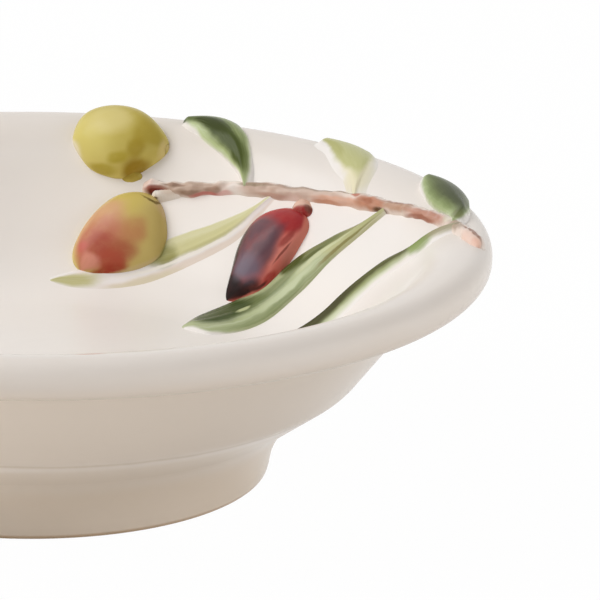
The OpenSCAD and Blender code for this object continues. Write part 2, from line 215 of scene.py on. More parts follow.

# %% [markdown]
# ## Handing over a piece
#
# The pieces of the dish are joined by firing, and all of them belong to one body that never moves. In the
# scene each piece ends the same way: its mesh becomes an object at the origin, its faces are shaded
# smooth, it rides on the body, the solid that it stands for is hidden, and it takes its finish. This
# could be written out fifteen times, but one helper does it the same way every time, and it also turns a
# mesh that came out inside out.

# %% Hand a mesh over as a finished piece
crisp_angle = 25


def hand_over(name, builder, material, replaced_node, crisp=False):
    """Turn a bmesh into a piece that rides on the dish and stands for a solid."""
    bmesh.ops.recalc_face_normals(builder, faces=builder.faces)
    if builder.calc_volume(signed=True) < 0:
        bmesh.ops.reverse_faces(builder, faces=builder.faces)
    mesh = bpy.data.meshes.new(name)
    builder.to_mesh(mesh)
    builder.free()
    mesh.shade_smooth()
    if crisp:
        mesh.set_sharp_from_angle(angle=math.radians(crisp_angle))
    mesh.materials.append(material)
    piece = bpy.data.objects.new(name, mesh)
    bpy.context.scene.collection.objects.link(piece)
    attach(piece, "root")
    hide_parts(replaced_node)
    print(name, "has", len(mesh.polygons), "faces")


print("on a crisp piece, edges past", crisp_angle, "degrees stay sharp")

# %% [markdown]
# ## Colours
#
# The dish is warm white earthenware under a clear glaze, and its paints are thin washes: olive greens, a
# brick red, an aubergine and a bark brown. Colours could be given straight in linear light, as shaders
# take them, but nobody can picture those numbers. They are written as they are read from a screen, from 0
# to 255, and one helper converts them.

# %% Paint box
def screen_colour(red, green, blue):
    """Linear colour with alpha from screen values of 0 to 255."""
    def linear(value):
        share = value / 255
        return share / 12.92 if share <= 0.04045 else ((share + 0.055) / 1.055) ** 2.4
    return linear(red), linear(green), linear(blue), 1.0


cream = screen_colour(241, 235, 230)
warm_cream = screen_colour(236, 226, 215)
bare_clay = screen_colour(196, 170, 140)
print("cream glaze, linear:", [round(c, 3) for c in cream[:3]])

# %% [markdown]
# ## Helpers for nodes
#
# A material is a small graph of nodes, which can be wired by hand in the Shader Editor. In a script the
# wiring takes a line for every field and link, and the idea drowns in it. One helper adds a node and
# fills in its fields and inputs at once, and another starts an empty material, so each finish below reads
# as a short list of steps.

# %% Add a node
def add_node(tree, kind, settings=None, inputs=None):
    """Add a node, set its fields, and set or link its inputs."""
    node = tree.nodes.new(kind)
    for field, value in (settings or {}).items():
        setattr(node, field, value)
    for socket, value in (inputs or {}).items():
        if isinstance(value, bpy.types.NodeSocket):
            tree.links.new(value, node.inputs[socket])
        else:
            node.inputs[socket].default_value = value
    return node


def new_material(name):
    """An empty node material."""
    material = bpy.data.materials.new(name)
    material.use_nodes = True
    material.node_tree.nodes.clear()
    return material


print("materials before any glaze:", len(bpy.data.materials))

# %% [markdown]
# ## Mixing and measuring in nodes
#
# Glaze and paint never end in a hard line: one tone runs softly into the next. In nodes that takes three
# steps again and again: work out a number, carry it smoothly from one range to another, and mix two
# colours by it. A colour ramp node could do the last two together, but its stops are hard to read in a
# script. Three small helpers with plain arguments are clearer.

# %% Blend colours and carry values
def maths(tree, operation, *values):
    """Result of a Math node."""
    return add_node(tree, "ShaderNodeMath", {"operation": operation}, dict(enumerate(values))).outputs[0]


def ramp(tree, value, low, high, low_result=0.0, high_result=1.0):
    """Value carried smoothly from one range to another."""
    return add_node(tree, "ShaderNodeMapRange", {"interpolation_type": "SMOOTHSTEP"}, {
        "Value": value, "From Min": low, "From Max": high,
        "To Min": low_result, "To Max": high_result}).outputs["Result"]


def blend(tree, share, under, over):
    """Colour mixed from two others by a share."""
    mix = add_node(tree, "ShaderNodeMix", {"data_type": "RGBA"})
    for socket, value in zip((mix.inputs[0], mix.inputs[6], mix.inputs[7]), (share, under, over)):
        if isinstance(value, bpy.types.NodeSocket):
            tree.links.new(value, socket)
        else:
            socket.default_value = value
    return mix.outputs[2]


print("node helpers: maths, ramp and blend")

# %% [markdown]
# ## Clear glaze
#
# Every piece of the dish ends in the same clear glaze over its colour. Glaze is glassy, but it is never
# quite level, because it runs while it melts. A second coat layer on the shader could show that, but a
# coat over a pale ground hardly differs from the shader's own gloss. So the gloss is the shader's own,
# and a faint ripple in the normal breaks up its reflections.

# %% Glaze over a colour
glaze_roughness = 0.24
glaze_specular = 0.1
glaze_ripple = 0.1


def glaze_over(tree, colour, specular=glaze_specular):
    """Clear glaze over a colour, with the faint unevenness of a dipped pot."""
    place = add_node(tree, "ShaderNodeTexCoord").outputs["Object"]
    waves = add_node(tree, "ShaderNodeTexNoise", {}, {"Vector": place, "Scale": 140.0, "Detail": 2.0})
    uneven = add_node(tree, "ShaderNodeBump", {}, {
        "Height": waves.outputs["Fac"], "Strength": glaze_ripple, "Distance": 0.5 * MM})
    shader = add_node(tree, "ShaderNodeBsdfPrincipled", {}, {
        "Base Color": colour, "Roughness": glaze_roughness, "Specular IOR Level": specular,
        "Normal": uneven.outputs["Normal"]})
    add_node(tree, "ShaderNodeOutputMaterial", {}, {"Surface": shader.outputs["BSDF"]})


print("glaze roughness:", glaze_roughness)

# %% [markdown]
# ## Profiles for turned pieces
#
# A potter shapes a bowl by holding a profile against turning clay. A Screw modifier on a drawn curve
# could do the same, but Blender's spin operator works straight on a mesh: one line of vertices is turned
# about the upright axis. The line is drawn with ruler and compass. Straight runs are extruded from the
# last vertex, and each rounding is that vertex turned about the rounding's centre, so all roundings are
# true arcs, as on the solids.

# %% Draw profiles with ruler and compass
throw_steps = 224


def rule_to(profile, end, radius, height):
    """Draw a straight run from the end of a profile."""
    drawn = bmesh.ops.extrude_vert_indiv(profile, verts=[end])
    end = drawn["verts"][0]
    end.co = Vector((radius, 0, height))
    return end


def compass(profile, end, centre, degrees, steps):
    """Turn the end of a profile about a centre, anticlockwise as seen with +X right and +Z up."""
    drawn = bmesh.ops.spin(profile, geom=[end], cent=centre, axis=(0, -1, 0),
                           angle=math.radians(degrees), steps=steps)
    return [item for item in drawn["geom_last"] if isinstance(item, bmesh.types.BMVert)][0]


def throw(profile):
    """Turn a finished profile once round the upright axis."""
    bmesh.ops.spin(profile, geom=profile.verts[:] + profile.edges[:], cent=(0, 0, 0), axis=(0, 0, 1),
                   angle=math.tau, steps=throw_steps, use_merge=True)
    bmesh.ops.remove_doubles(profile, verts=profile.verts, dist=0.01 * MM)


print("one turn of the wheel takes", throw_steps, "steps")

# %% [markdown]
# ## The outside of the bowl
#
# Outside, the bowl has a rolled lip, a cove under it, a straight wall, and a rounded heel that turns in
# under the bowl. Its corners could be read off the solid, but a few sizes say more to a reader, and the
# rest follows from them: where two straight runs meet, a rounding starts before the corner, by its radius
# times the tangent of half the turn.

# %% Corners of the bowl's outer face
wall_thickness = 4.6 * MM
outer_slope = math.radians(52)
cove_radius = 6 * MM
heel_radius = 9 * MM
heel_height = 5.8 * MM
underside_slope = math.radians(35)

lip_bottom = dish_height - 2 * lip_radius - lip_band
climb = lip_bottom - wall_top.z + wall_thickness * math.cos(inner_slope)
outer_top_radius = wall_top.x + wall_thickness * math.sin(inner_slope) + climb / math.tan(outer_slope)
heel_z = foot_height + heel_height
heel_corner = Vector((outer_top_radius - (lip_bottom - heel_z) / math.tan(outer_slope), 0, heel_z))
cove_start = outer_top_radius + cove_radius * math.tan(outer_slope / 2)
heel_turn = outer_slope - underside_slope
up_wall = Vector((math.cos(outer_slope), 0, math.sin(outer_slope)))
heel_start = heel_corner + heel_radius * math.tan(heel_turn / 2) * up_wall
heel_centre = heel_start + heel_radius * Vector((-up_wall.z, 0, up_wall.x))
print("heel corner in mm:", round(heel_corner.x / MM, 2), round(heel_corner.z / MM, 2))

# %% [markdown]
# ## The neck above the foot
#
# Between heel and foot the glaze runs into the corner and fills it with a smooth hollow. A bevel on a
# finished mesh could round that corner, but bowl and foot are two pieces, and the hollow has to lie on
# one and meet the other. So its corner, its start and its centre are worked out once, and both profiles
# use them. It makes the neck a little fuller than the solids are, as the glaze does.

# %% The neck between the bowl and its foot
neck_radius = 15 * MM
foot_bottom_radius = 44.4 * MM
foot_thickness = 6.5 * MM
foot_slope = math.radians(84)

neck_z = ((foot_bottom_radius - heel_corner.x + heel_corner.z / math.tan(underside_slope))
          / (1 / math.tan(underside_slope) - 1 / math.tan(foot_slope)))
neck_corner = Vector((foot_bottom_radius + neck_z / math.tan(foot_slope), 0, neck_z))
neck_turn = foot_slope - underside_slope
neck_reach = neck_radius * math.tan(neck_turn / 2)
ring_top = neck_corner + neck_reach * Vector((math.cos(underside_slope), 0, math.sin(underside_slope)))
neck_centre = ring_top + neck_radius * Vector((math.sin(underside_slope), 0, -math.cos(underside_slope)))
recess_radius = ring_top.x - foot_thickness
print("ring top in mm:", round(ring_top.x / MM, 2), round(ring_top.z / MM, 2))

# %% [markdown]
# ## Throwing the bowl
#
# The bowl is one wall of clay, a little under five millimetres thick. A single sheet with a Solidify
# modifier could stand for it, but its edge would come out square where the bowl has a round lip. The
# whole outline is drawn instead: from the middle of the floor up the inner wall, over the lip, down the
# outside and back to the middle of the underside. Both ends lie on the axis, so the spin closes the bowl
# by itself.

# %% Throw the bowl
bowl = bmesh.new()
pen = bowl.verts.new((0, 0, floor_height))
for radius_share in (0.25, 0.5, 0.75, 1.0):
    pen = rule_to(bowl, pen, floor_radius * radius_share, floor_height)
pen = compass(bowl, pen, (floor_radius, 0, floor_height + well_radius), math.degrees(inner_slope), 24)
for run_share in (0.67, 0.34, 0.0):
    pen = rule_to(bowl, pen, *face_at(roll_end + wall_length * run_share))
pen = compass(bowl, pen, (ridge_radius, 0, dish_height - roll_radius), -math.degrees(inner_slope), 16)
pen = compass(bowl, pen, (ridge_radius, 0, dish_height - lip_radius), -90, 12)
pen = rule_to(bowl, pen, rim_radius, lip_bottom + lip_radius)
pen = compass(bowl, pen, (ridge_radius, 0, lip_bottom + lip_radius), -90, 12)
pen = rule_to(bowl, pen, cove_start, lip_bottom)
pen = compass(bowl, pen, (cove_start, 0, lip_bottom - cove_radius), math.degrees(outer_slope), 10)
pen = rule_to(bowl, pen, heel_start.x, heel_start.z)
pen = compass(bowl, pen, heel_centre, -math.degrees(heel_turn), 10)
pen = rule_to(bowl, pen, ring_top.x, ring_top.z)
pen = rule_to(bowl, pen, recess_radius, ring_top.z)
for radius_share in (1.0, 0.66, 0.33, 0.0):
    pen = rule_to(bowl, pen, recess_radius * radius_share, foot_height)
throw(bowl)
print("bowl vertices:", len(bowl.verts))

# %% [markdown]
# ## Finding the way on the bowl
#
# The bowl's colour isn't the same all over, with tints, painted light and painted shade, so the material
# has to know where on the bowl it is. A painted image could say so, but it would have to be stored beside
# the script. A turned piece needs only two numbers, how far out from the axis and how high, and Object
# coordinates give both. Soft clouds of noise, as a dipped glaze has, come from the same coordinates.

# %% Where a point of the bowl is
def between(tree, value, low, high, soft):
    """1 where a value lies between two others, with soft ends."""
    rising = ramp(tree, value, low - soft, low + soft)
    falling = ramp(tree, value, high - soft, high + soft, 1.0, 0.0)
    return maths(tree, "MULTIPLY", rising, falling)


def drifting(tree, place, least, most):
    """A share that drifts between two values in soft clouds."""
    clouds = add_node(tree, "ShaderNodeTexNoise", {}, {"Vector": place, "Scale": 24.0, "Detail": 4.0})
    return ramp(tree, clouds.outputs["Fac"], 0.35, 0.75, least, most)


bowl_glaze = new_material("cream glaze")
tree = bowl_glaze.node_tree
place = add_node(tree, "ShaderNodeTexCoord").outputs["Object"]
axes = add_node(tree, "ShaderNodeSeparateXYZ", {}, {"Vector": place}).outputs
height = axes["Z"]
flat_place = add_node(tree, "ShaderNodeCombineXYZ", {}, {"X": axes["X"], "Y": axes["Y"]}).outputs["Vector"]
outward = add_node(tree, "ShaderNodeVectorMath", {"operation": "LENGTH"}, {0: flat_place}).outputs["Value"]
height_share = 0.85
half_out = maths(tree, "MULTIPLY_ADD", height, -height_share, outward)
print("the bowl's material starts with", len(tree.nodes), "nodes")

# %% [markdown]
# ## Painted light and shade, and tints, on the bowl
#
# The bowl takes painted light and painted shade as well as tints. The well is painted lighter, as painted
# light against the shade of the walls. The lip is darker and warmer towards its top, and so is the outside.
# Painted shade lies in dark lines under the lip and under the heel, and the lower part of the lip's outer
# face is painted darker as shade. The front of the lip also has one short red hairline. Ambient occlusion
# nodes find hollows by themselves, but they also darken every corner behind a leaf. The heights of these
# places are known, so each is a soft band between two sizes, or the product of two where both have to
# hold. The distance outward less most of the height tells the inner face from the outer one.

# %% Places of painted light, painted shade and tints on the bowl
inside_limit = 38 * MM
outside_limit = 41 * MM
inside = ramp(tree, half_out, inside_limit, outside_limit, 1.0, 0.0)
outside = ramp(tree, half_out, inside_limit, outside_limit)
# painted light: lighter low inside the bowl, against the shade of its walls
light_in_well = maths(tree, "MULTIPLY", inside, ramp(tree, height, 24 * MM, 40 * MM, 0.6, 0.0))
# darker and warmer on the outer wall
on_wall_outside = maths(tree, "MULTIPLY", outside,
                        between(tree, height, heel_z - 1.5 * MM, lip_bottom, soft=1 * MM))
# darker and warmer under the bowl
under_bowl = maths(tree, "MULTIPLY", ramp(tree, half_out, 28 * MM, 30 * MM),
                   ramp(tree, height, heel_z - 3.5 * MM, heel_z - 1 * MM, 1.0, 0.0))
# darker and warmer towards the top of the lip
on_lip = ramp(tree, height, 40 * MM, 45 * MM, 0.0, 0.5)
# painted shade: the lower part of the lip's outer face is darker
shade_low_on_lip = maths(tree, "MULTIPLY", ramp(tree, outward, 82 * MM, 84 * MM),
                   ramp(tree, height, lip_bottom + 1 * MM, lip_bottom + 6 * MM, 0.8, 0.0))
# painted shade: a dark line under the overhang of the lip
shade_under_lip = maths(tree, "MULTIPLY", between(tree, outward, 78 * MM, 90 * MM, soft=1 * MM),
                  between(tree, height, 30 * MM, lip_bottom + 0.8 * MM, soft=0.8 * MM))
# painted shade: a thin, wavy dark line in the crease under the heel
wrinkles = add_node(tree, "ShaderNodeTexNoise", {}, {"Vector": place, "Scale": 90.0, "Detail": 3.0})
wavy_height = maths(tree, "MULTIPLY_ADD", wrinkles.outputs["Fac"], 1.2 * MM, height)
shade_under_heel = maths(tree, "MULTIPLY", between(tree, outward, 50 * MM, 66 * MM, soft=1 * MM),
                   between(tree, wavy_height, heel_z - 0.5 * MM, heel_z + 0.1 * MM, soft=0.35 * MM))
on_front_ridge = maths(tree, "MULTIPLY", between(tree, outward, 79.1 * MM, 80.0 * MM, soft=0.2 * MM),
                       between(tree, axes["Y"], -90 * MM, -40 * MM, soft=10 * MM))
red_hairline = maths(tree, "MULTIPLY", on_front_ridge,
                     between(tree, axes["X"], 12 * MM, 16 * MM, soft=1.5 * MM))
print("after the masks it has", len(tree.nodes), "nodes")

# %% [markdown]
# ## Glazing the bowl
#
# Now the tints are laid over one another. The cream varies in soft clouds first, because a dipped glaze
# is nowhere quite even, and then each place takes its own tint, painted light and painted shade among
# them. One colour with strong shadows could look like this from one side only. These tints stay the same
# under any light.

# %% Glaze the bowl
surface = blend(tree, drifting(tree, place, 0.0, 0.5), cream, warm_cream)
tints = (
    # painted light in the well
    (light_in_well, (249, 242, 235)),
    (on_wall_outside, (227, 217, 206)),
    (under_bowl, (229, 219, 207)),
    # painted shade low on the lip's outer face
    (shade_low_on_lip, (219, 208, 197)),
    (on_lip, (230, 219, 208)),
    # painted shade under the lip
    (shade_under_lip, (204, 193, 178)),
    # painted shade in the crease under the heel
    (shade_under_heel, (214, 202, 186)),
    (red_hairline, (208, 164, 155)),
)
for share, tint in tints:
    surface = blend(tree, share, surface, screen_colour(*tint))
glaze_over(tree, surface)
hand_over("glazed_bowl", bowl, bowl_glaze, "dish_body", crisp=True)

# %% [markdown]
# ## The foot ring
#
# The foot is a tall ring under the bowl that draws in towards the table. A cylinder with its rim bevelled
# could pass for it, but its outside is a straight slope that runs up into the hollow of the neck. So the
# ring is turned from its own profile, like the bowl, and shares the neck with it. Its lower edges are
# worn round.

# %% Turn the foot ring
foot_edge = 1.4 * MM
inner_edge = foot_bottom_radius - foot_thickness + foot_edge

foot = bmesh.new()
pen = foot.verts.new(ring_top)
pen = compass(foot, pen, neck_centre, math.degrees(neck_turn), 12)
pen = rule_to(foot, pen, foot_bottom_radius, foot_edge)
pen = compass(foot, pen, (foot_bottom_radius - foot_edge, 0, foot_edge), -90, 8)
pen = rule_to(foot, pen, inner_edge, 0)
pen = compass(foot, pen, (inner_edge, 0, foot_edge), -90, 8)
pen = rule_to(foot, pen, recess_radius, ring_top.z)
rule_to(foot, pen, ring_top.x, ring_top.z)
throw(foot)
print("foot ring vertices:", len(foot.verts))

# %% [markdown]
# ## The foot's glaze
#
# On the foot the colour is a little browner than on the bowl, and browner towards the bottom, and where
# the ring stands on the table the glaze is wiped off, so that the bare clay shows. The bare ring could be a
# second material on the lowest faces, but its edge would follow the faces. Both come from the height alone,
# as soft steps in one material.

# %% Glaze the foot ring
foot_glaze = new_material("foot glaze")
tree = foot_glaze.node_tree
place = add_node(tree, "ShaderNodeTexCoord").outputs["Object"]
height = add_node(tree, "ShaderNodeSeparateXYZ", {}, {"Vector": place}).outputs["Z"]
lower_foot_tone = blend(tree, drifting(tree, place, 0.5, 1.0), screen_colour(232, 221, 209),
                 screen_colour(224, 211, 195))
below_neck = ramp(tree, height, 8 * MM, ring_top.z, 1.0, 0.0)
wash = blend(tree, below_neck, screen_colour(229, 219, 207), lower_foot_tone)
worn = ramp(tree, height, 0.5 * MM, 1.2 * MM, 1.0, 0.0)
glaze_over(tree, blend(tree, worn, wash, bare_clay))
hand_over("glazed_foot_ring", foot, foot_glaze, "foot_ring", crisp=True)

# %% [markdown]
# ## Relief on the wall
#
# The sprig is moulded with the bowl, so its pieces are low forms that melt into the wall. They could be
# sculpted, but a script can't hold a sculptor's strokes. A flat strip of faces is laid out first, with
# one side along the route and the other across it. It is extruded into a closed slab, and each vertex is
# moved to its place on the wall: the lower sheet just under the glaze, the upper one to the height of the
# form. The strip's own two numbers become its map for painting.

# %% Lay a strip on the wall
sunk = -0.45 * MM


def lay_strip(route, along_steps, across_steps, shape):
    """A closed strip along a route. shape gives offset and lift at a share along and a column, -1 to 1."""
    strip = bmesh.new()
    bmesh.ops.create_grid(strip, x_segments=along_steps, y_segments=across_steps, size=1)
    raised = bmesh.ops.extrude_face_region(strip, geom=strip.faces[:], use_keep_orig=True)["geom"]
    upper = {item for item in raised if isinstance(item, bmesh.types.BMVert)}
    paint_map = strip.loops.layers.uv.new("paint")
    for face in strip.faces:
        for loop in face.loops:
            loop[paint_map].uv = (loop.vert.co.xy + Vector((1, 1))) / 2
    for vert in strip.verts:
        share = (vert.co.x + 1) / 2
        offset, lift = shape(share, vert.co.y)
        vert.co = route.beside(share, offset, lift if vert in upper else sunk)
    return strip


print("the lower sheet of a strip lies", -sunk / MM, "mm under the glaze")

# %% [markdown]
# ## The form of a leaf
#
# A leaf of the sprig is a crowned blade with a low rib and a rounded margin that runs down into the wall.
# A plane with a Solidify modifier would be one even thickness, like paper, and its margin would stand off
# the wall. So the height is given across the blade: crown, edge, rib and margin. The two halves of a leaf
# are not alike, so each has its own list of half widths in millimetres, at even steps from stem to tip.

# %% Shape a leaf
foot_of_form = -0.12 * MM
blade_share = 0.7
rib_width = 0.14
tip_share = 0.05


def leaf_shape(lip_side, floor_side, crown, edge, margin, rib=0.0, lean=0.0):
    """Shape of a leaf. lean lays the blade down on the floor side, so the edge towards the lip stands up."""
    def shape(share, column):
        half = eased(lip_side if column < 0 else floor_side, share)
        inner = min(abs(column) / blade_share, 1)
        outer = max(0.0, abs(column) - blade_share) / (1 - blade_share)
        side = math.copysign(inner, column)
        fullness = math.sin(math.pi * (0.08 + 0.84 * share)) ** 0.5
        height = edge + (crown - edge) * (1 - inner ** 2) * fullness
        height += rib * math.exp(-(inner / rib_width) ** 2) * fullness
        height *= 1 - lean * (1 + side) / 2
        tip = min(1.0, (1 - share) / tip_share) ** 0.5
        drop = (1 + math.cos(math.pi * outer)) / 2
        lift = foot_of_form + (height * MM - foot_of_form) * drop * tip
        return math.copysign((half * inner + margin * outer) * MM, column), lift
    return shape


print("the blade takes", blade_share, "of a leaf's columns and the margin takes the rest")

# %% [markdown]
# ## The form of an olive
#
# Each olive stands about half out of the wall. A UV sphere has poles that pinch, just where an olive has
# its stalk and its tip, so an icosphere is the better ball to start from. Its upper half is drawn out
# along the olive's route and swelled to the width of the fruit, and its lower half is pressed flat under
# the glaze. Two short lists say where the olive is fuller or leaner on its two sides.

# %% Shape an olive
pressed_depth = 0.33
smallest_ring = 0.02
point_share = 0.16


def lay_olive(route, width, rise, lip_side, floor_side, point=0.0):
    """An olive along a route from stalk end to tip, fuller or leaner on its two sides."""
    fruit = bmesh.new()
    bmesh.ops.create_icosphere(fruit, subdivisions=6, radius=1)
    paint_map = fruit.loops.layers.uv.new("paint")
    for face in fruit.faces:
        for loop in face.loops:
            along, across = loop.vert.co.xy
            ring = max(math.sqrt(max(0.0, 1 - along * along)), smallest_ring)
            round_share = math.acos(max(-1, min(1, -across / ring))) / math.pi
            loop[paint_map].uv = Vector(((along + 1) / 2, round_share))
    for vert in fruit.verts:
        along, across, up = vert.co
        share = (along + 1) / 2
        swell = eased(lip_side if across < 0 else floor_side, share)
        offset = across * width / 2 * swell * MM
        lift = foot_of_form + (rise if up > 0 else pressed_depth) * up * MM
        stretched = share - point * max(0.0, 1 - share / point_share) ** 2
        vert.co = route.beside(stretched, offset, lift)
    return fruit


print("an olive's underside is pressed", pressed_depth, "mm into the wall")

# %% [markdown]
# ## The form of a stem
#
# The twig and the stalks are thin half round stems, knobbly and a little twisted, as a modeller's fingers
# leave them. A curve with a round bevel would be as even as a wire, and a Displace modifier would also
# push out the underside. So a stem is a strip too, and a few waves of smooth noise along it swell it,
# ridge it and let it wander.

# %% Shape a stem
lump_pace = 34
ridge_pace = 60
ridge_turn = 1.6
wander_pace = 18
wander_reach = 0.8


def stem_shape(widths, rises, knobs, margin=0.5, seed=0.0, taper=0.03):
    """Shape of a stem from its widths and rises in millimetres, at even steps along it."""
    def shape(share, column):
        inner = min(abs(column) / blade_share, 1)
        outer = max(0.0, abs(column) - blade_share) / (1 - blade_share)
        knob = eased(knobs, share)
        lump = knob * noise.noise(Vector((share * lump_pace, seed, 0)))
        ridge = knob * noise.noise(Vector((share * ridge_pace, column * ridge_turn, seed + 7)))
        end = min(1.0, share / taper, (1 - share) / taper) ** 0.5
        half = eased(widths, share) / 2 * (1 + lump) * (0.5 + 0.5 * end)
        height = eased(rises, share) * (0.3 + 0.7 * math.sqrt(1 - 0.9 * inner ** 2)) * (1 + lump + ridge)
        drop = (1 + math.cos(math.pi * outer)) / 2
        wander = knob * wander_reach * noise.noise(Vector((share * wander_pace, seed + 3, 0)))
        lift = foot_of_form + (height * MM - foot_of_form) * drop * end
        return (math.copysign(half * inner + margin * outer, column) + wander) * MM, lift
    return shape


print("a stem has", lump_pace, "waves of lumps and", ridge_pace, "of ridges along it")

# %% [markdown]
# ## One brush mark
#
# The sprig is painted by hand under the glaze, in thin washes laid over one another. Texture painting
# could do that, but it leaves an image. A node group does one brush mark instead: it takes the colour
# that is already there and a place on the piece's map, and covers a soft oval with paint. Marks are
# chained, so later paint lies over earlier paint, as on the pot.

# %% One brush mark
def make_brush_mark():
    """Node group that lays one soft oval of paint over a colour."""
    group = bpy.data.node_groups.new("brush mark", "ShaderNodeTree")
    sockets = {"Map": "NodeSocketVector", "Hairs": "NodeSocketFloat", "Under": "NodeSocketColor",
               "Paint": "NodeSocketColor", "Centre": "NodeSocketVector", "Reach": "NodeSocketVector",
               "Turn": "NodeSocketVector", "Softness": "NodeSocketFloat", "Strength": "NodeSocketFloat"}
    for name, kind in sockets.items():
        group.interface.new_socket(name, in_out="INPUT", socket_type=kind)
    group.interface.new_socket("Colour", in_out="OUTPUT", socket_type="NodeSocketColor")
    given = add_node(group, "NodeGroupInput").outputs
    near = add_node(group, "ShaderNodeMapping", {"vector_type": "TEXTURE"}, {
        "Vector": given["Map"], "Location": given["Centre"],
        "Rotation": given["Turn"], "Scale": given["Reach"]})
    away = add_node(group, "ShaderNodeVectorMath", {"operation": "LENGTH"}, {0: near.outputs["Vector"]})
    core = maths(group, "MULTIPLY_ADD", given["Softness"], -0.5, 1.0)
    fringe = maths(group, "MULTIPLY_ADD", given["Softness"], 0.5, 1.0)
    cover = ramp(group, away.outputs["Value"], core, fringe, 1.0, 0.0)
    load = maths(group, "MULTIPLY", given["Strength"], given["Hairs"])
    mixed = blend(group, maths(group, "MULTIPLY", cover, load), given["Under"], given["Paint"])
    add_node(group, "NodeGroupOutput", {}, {"Colour": mixed})
    return group


brush_mark = make_brush_mark()
print("brush mark has", len(brush_mark.nodes), "nodes")

# %% [markdown]
# ## A painting on a piece
#
# Every piece of the sprig has its own painting: a ground colour, and mark after mark on it. One material
# with masks for all the pieces would do, but each change would touch them all. A small class keeps the
# colour so far, and each mark takes it and gives the next one. A little noise shakes the map, so that no
# edge is straight, and noise that is stretched along the piece leaves the streaks of the brush's hairs.

# %% A painted material
class Painting:
    """Paint laid mark by mark on the map of one piece, then glazed."""

    def __init__(self, name, ground, shake=(0.03, 0.06), streaks=(5.0, 26.0), seed=0.0, patchy=0.16):
        self.material = new_material(name)
        self.tree = self.material.node_tree
        self.colour = ground
        tree = self.tree
        place = add_node(tree, "ShaderNodeTexCoord").outputs["Object"]
        spot = add_node(tree, "ShaderNodeUVMap", {"uv_map": "paint"}).outputs["UV"]
        shaking = add_node(tree, "ShaderNodeTexNoise", {"noise_dimensions": "4D"}, {
            "Vector": place, "W": seed, "Scale": 330.0, "Detail": 3.0})
        level = add_node(tree, "ShaderNodeVectorMath", {"operation": "SUBTRACT"}, {
            0: shaking.outputs["Color"], 1: (0.5, 0.5, 0.5)})
        self.map = add_node(tree, "ShaderNodeVectorMath", {"operation": "MULTIPLY_ADD"}, {
            0: level.outputs["Vector"], 1: (2 * shake[0], 2 * shake[1], 0), 2: spot}).outputs["Vector"]
        drawn = add_node(tree, "ShaderNodeVectorMath", {"operation": "MULTIPLY"}, {
            0: self.map, 1: (*streaks, 0)})
        hairs = add_node(tree, "ShaderNodeTexNoise", {"noise_dimensions": "4D"}, {
            "Vector": drawn.outputs["Vector"], "W": seed + 5, "Scale": 1.0, "Detail": 3.0})
        self.hairs = ramp(tree, hairs.outputs["Fac"], 0.3, 0.62, 1 - patchy, 1.0)

    def mark(self, colour, centre, reach, strength=1.0, softness=0.7, turn=0.0):
        """Lay one mark, with its centre and reach in shares of the map and its turn in degrees."""
        node = add_node(self.tree, "ShaderNodeGroup", {"node_tree": brush_mark}, {
            "Map": self.map, "Hairs": self.hairs, "Under": self.colour, "Paint": screen_colour(*colour),
            "Centre": (*centre, 0), "Reach": (*reach, 1), "Turn": (0, 0, math.radians(turn)),
            "Softness": softness, "Strength": strength})
        self.colour = node.outputs["Colour"]

    def glazed(self, **glaze):
        """Cover the painting with glaze."""
        glaze_over(self.tree, self.colour, **glaze)
        return self.material


print("a mark's centre and reach are shares of the map: along the piece, then across it")

# %% [markdown]
# ## The back dark leaf
#
# This leaf grows up from the twig and climbs over the back rim, so its tip shows against the light. It
# could be bent over the rim with a Simple Deform modifier. Its route simply runs up to the lip instead,
# and the map takes care of the bend. Its paint goes from a pale green margin to a stroke of dark green
# along the rib.

# %% Back dark leaf
route = Route((55.5, 0.303), (59, 0.170), (63.5, 0.080), (67, 0.035), (71, 0.035))
blade = leaf_shape(
    lip_side=(0.9, 1.3, 1.4, 1.8, 2.6, 3.2, 3.6, 3.6, 3.0, 1.8, 0.3),
    floor_side=(0.3, 0.9, 2.1, 2.8, 3.3, 3.6, 3.6, 3.4, 3.0, 2.2, 0.4),
    crown=2.1, edge=0.8, margin=0.7, rib=0.1)
leaf = Painting("back dark leaf paint", cream, seed=1)
# A pale green ground with a mid green over it
leaf.mark((186, 198, 146), centre=(0.52, 0.48), reach=(0.56, 0.46), softness=0.3)
leaf.mark((130, 142, 82), centre=(0.50, 0.46), reach=(0.44, 0.34), strength=0.9, softness=0.6)
# Darker green along the edge near the tip, and beside the stem
leaf.mark((84, 92, 44), centre=(0.78, 0.12), reach=(0.26, 0.16), strength=0.95)
leaf.mark((94, 106, 54), centre=(0.20, 0.36), reach=(0.12, 0.20), strength=0.8, softness=0.9)
# The dark stroke along the rib, darkest past the middle
leaf.mark((76, 86, 38), centre=(0.26, 0.54), reach=(0.15, 0.20), strength=1.0, softness=0.9)
leaf.mark((70, 80, 34), centre=(0.48, 0.57), reach=(0.28, 0.18), strength=1.0, softness=0.9)
leaf.mark((60, 68, 26), centre=(0.68, 0.58), reach=(0.24, 0.15), strength=1.0, softness=0.9)
# The tip
leaf.mark((96, 108, 62), centre=(0.95, 0.42), reach=(0.08, 0.36), strength=0.9, softness=0.8)
leaf.mark((72, 84, 44), centre=(0.98, 0.72), reach=(0.03, 0.14), strength=0.9, softness=0.8)
hand_over("painted_back_dark_leaf", lay_strip(route, 72, 24, blade), leaf.glazed(),
          "back_dark_leaf")

# %% [markdown]
# ## The back pale leaf
#
# Further right a paler leaf folds over the rim. Its stem end is hardly painted, and the wash thickens
# towards the tip. A gradient along the leaf could show that, but a gradient has no brush in it. Five
# wide, soft marks do, with a wide margin of bare glaze round them, as the mould left it.

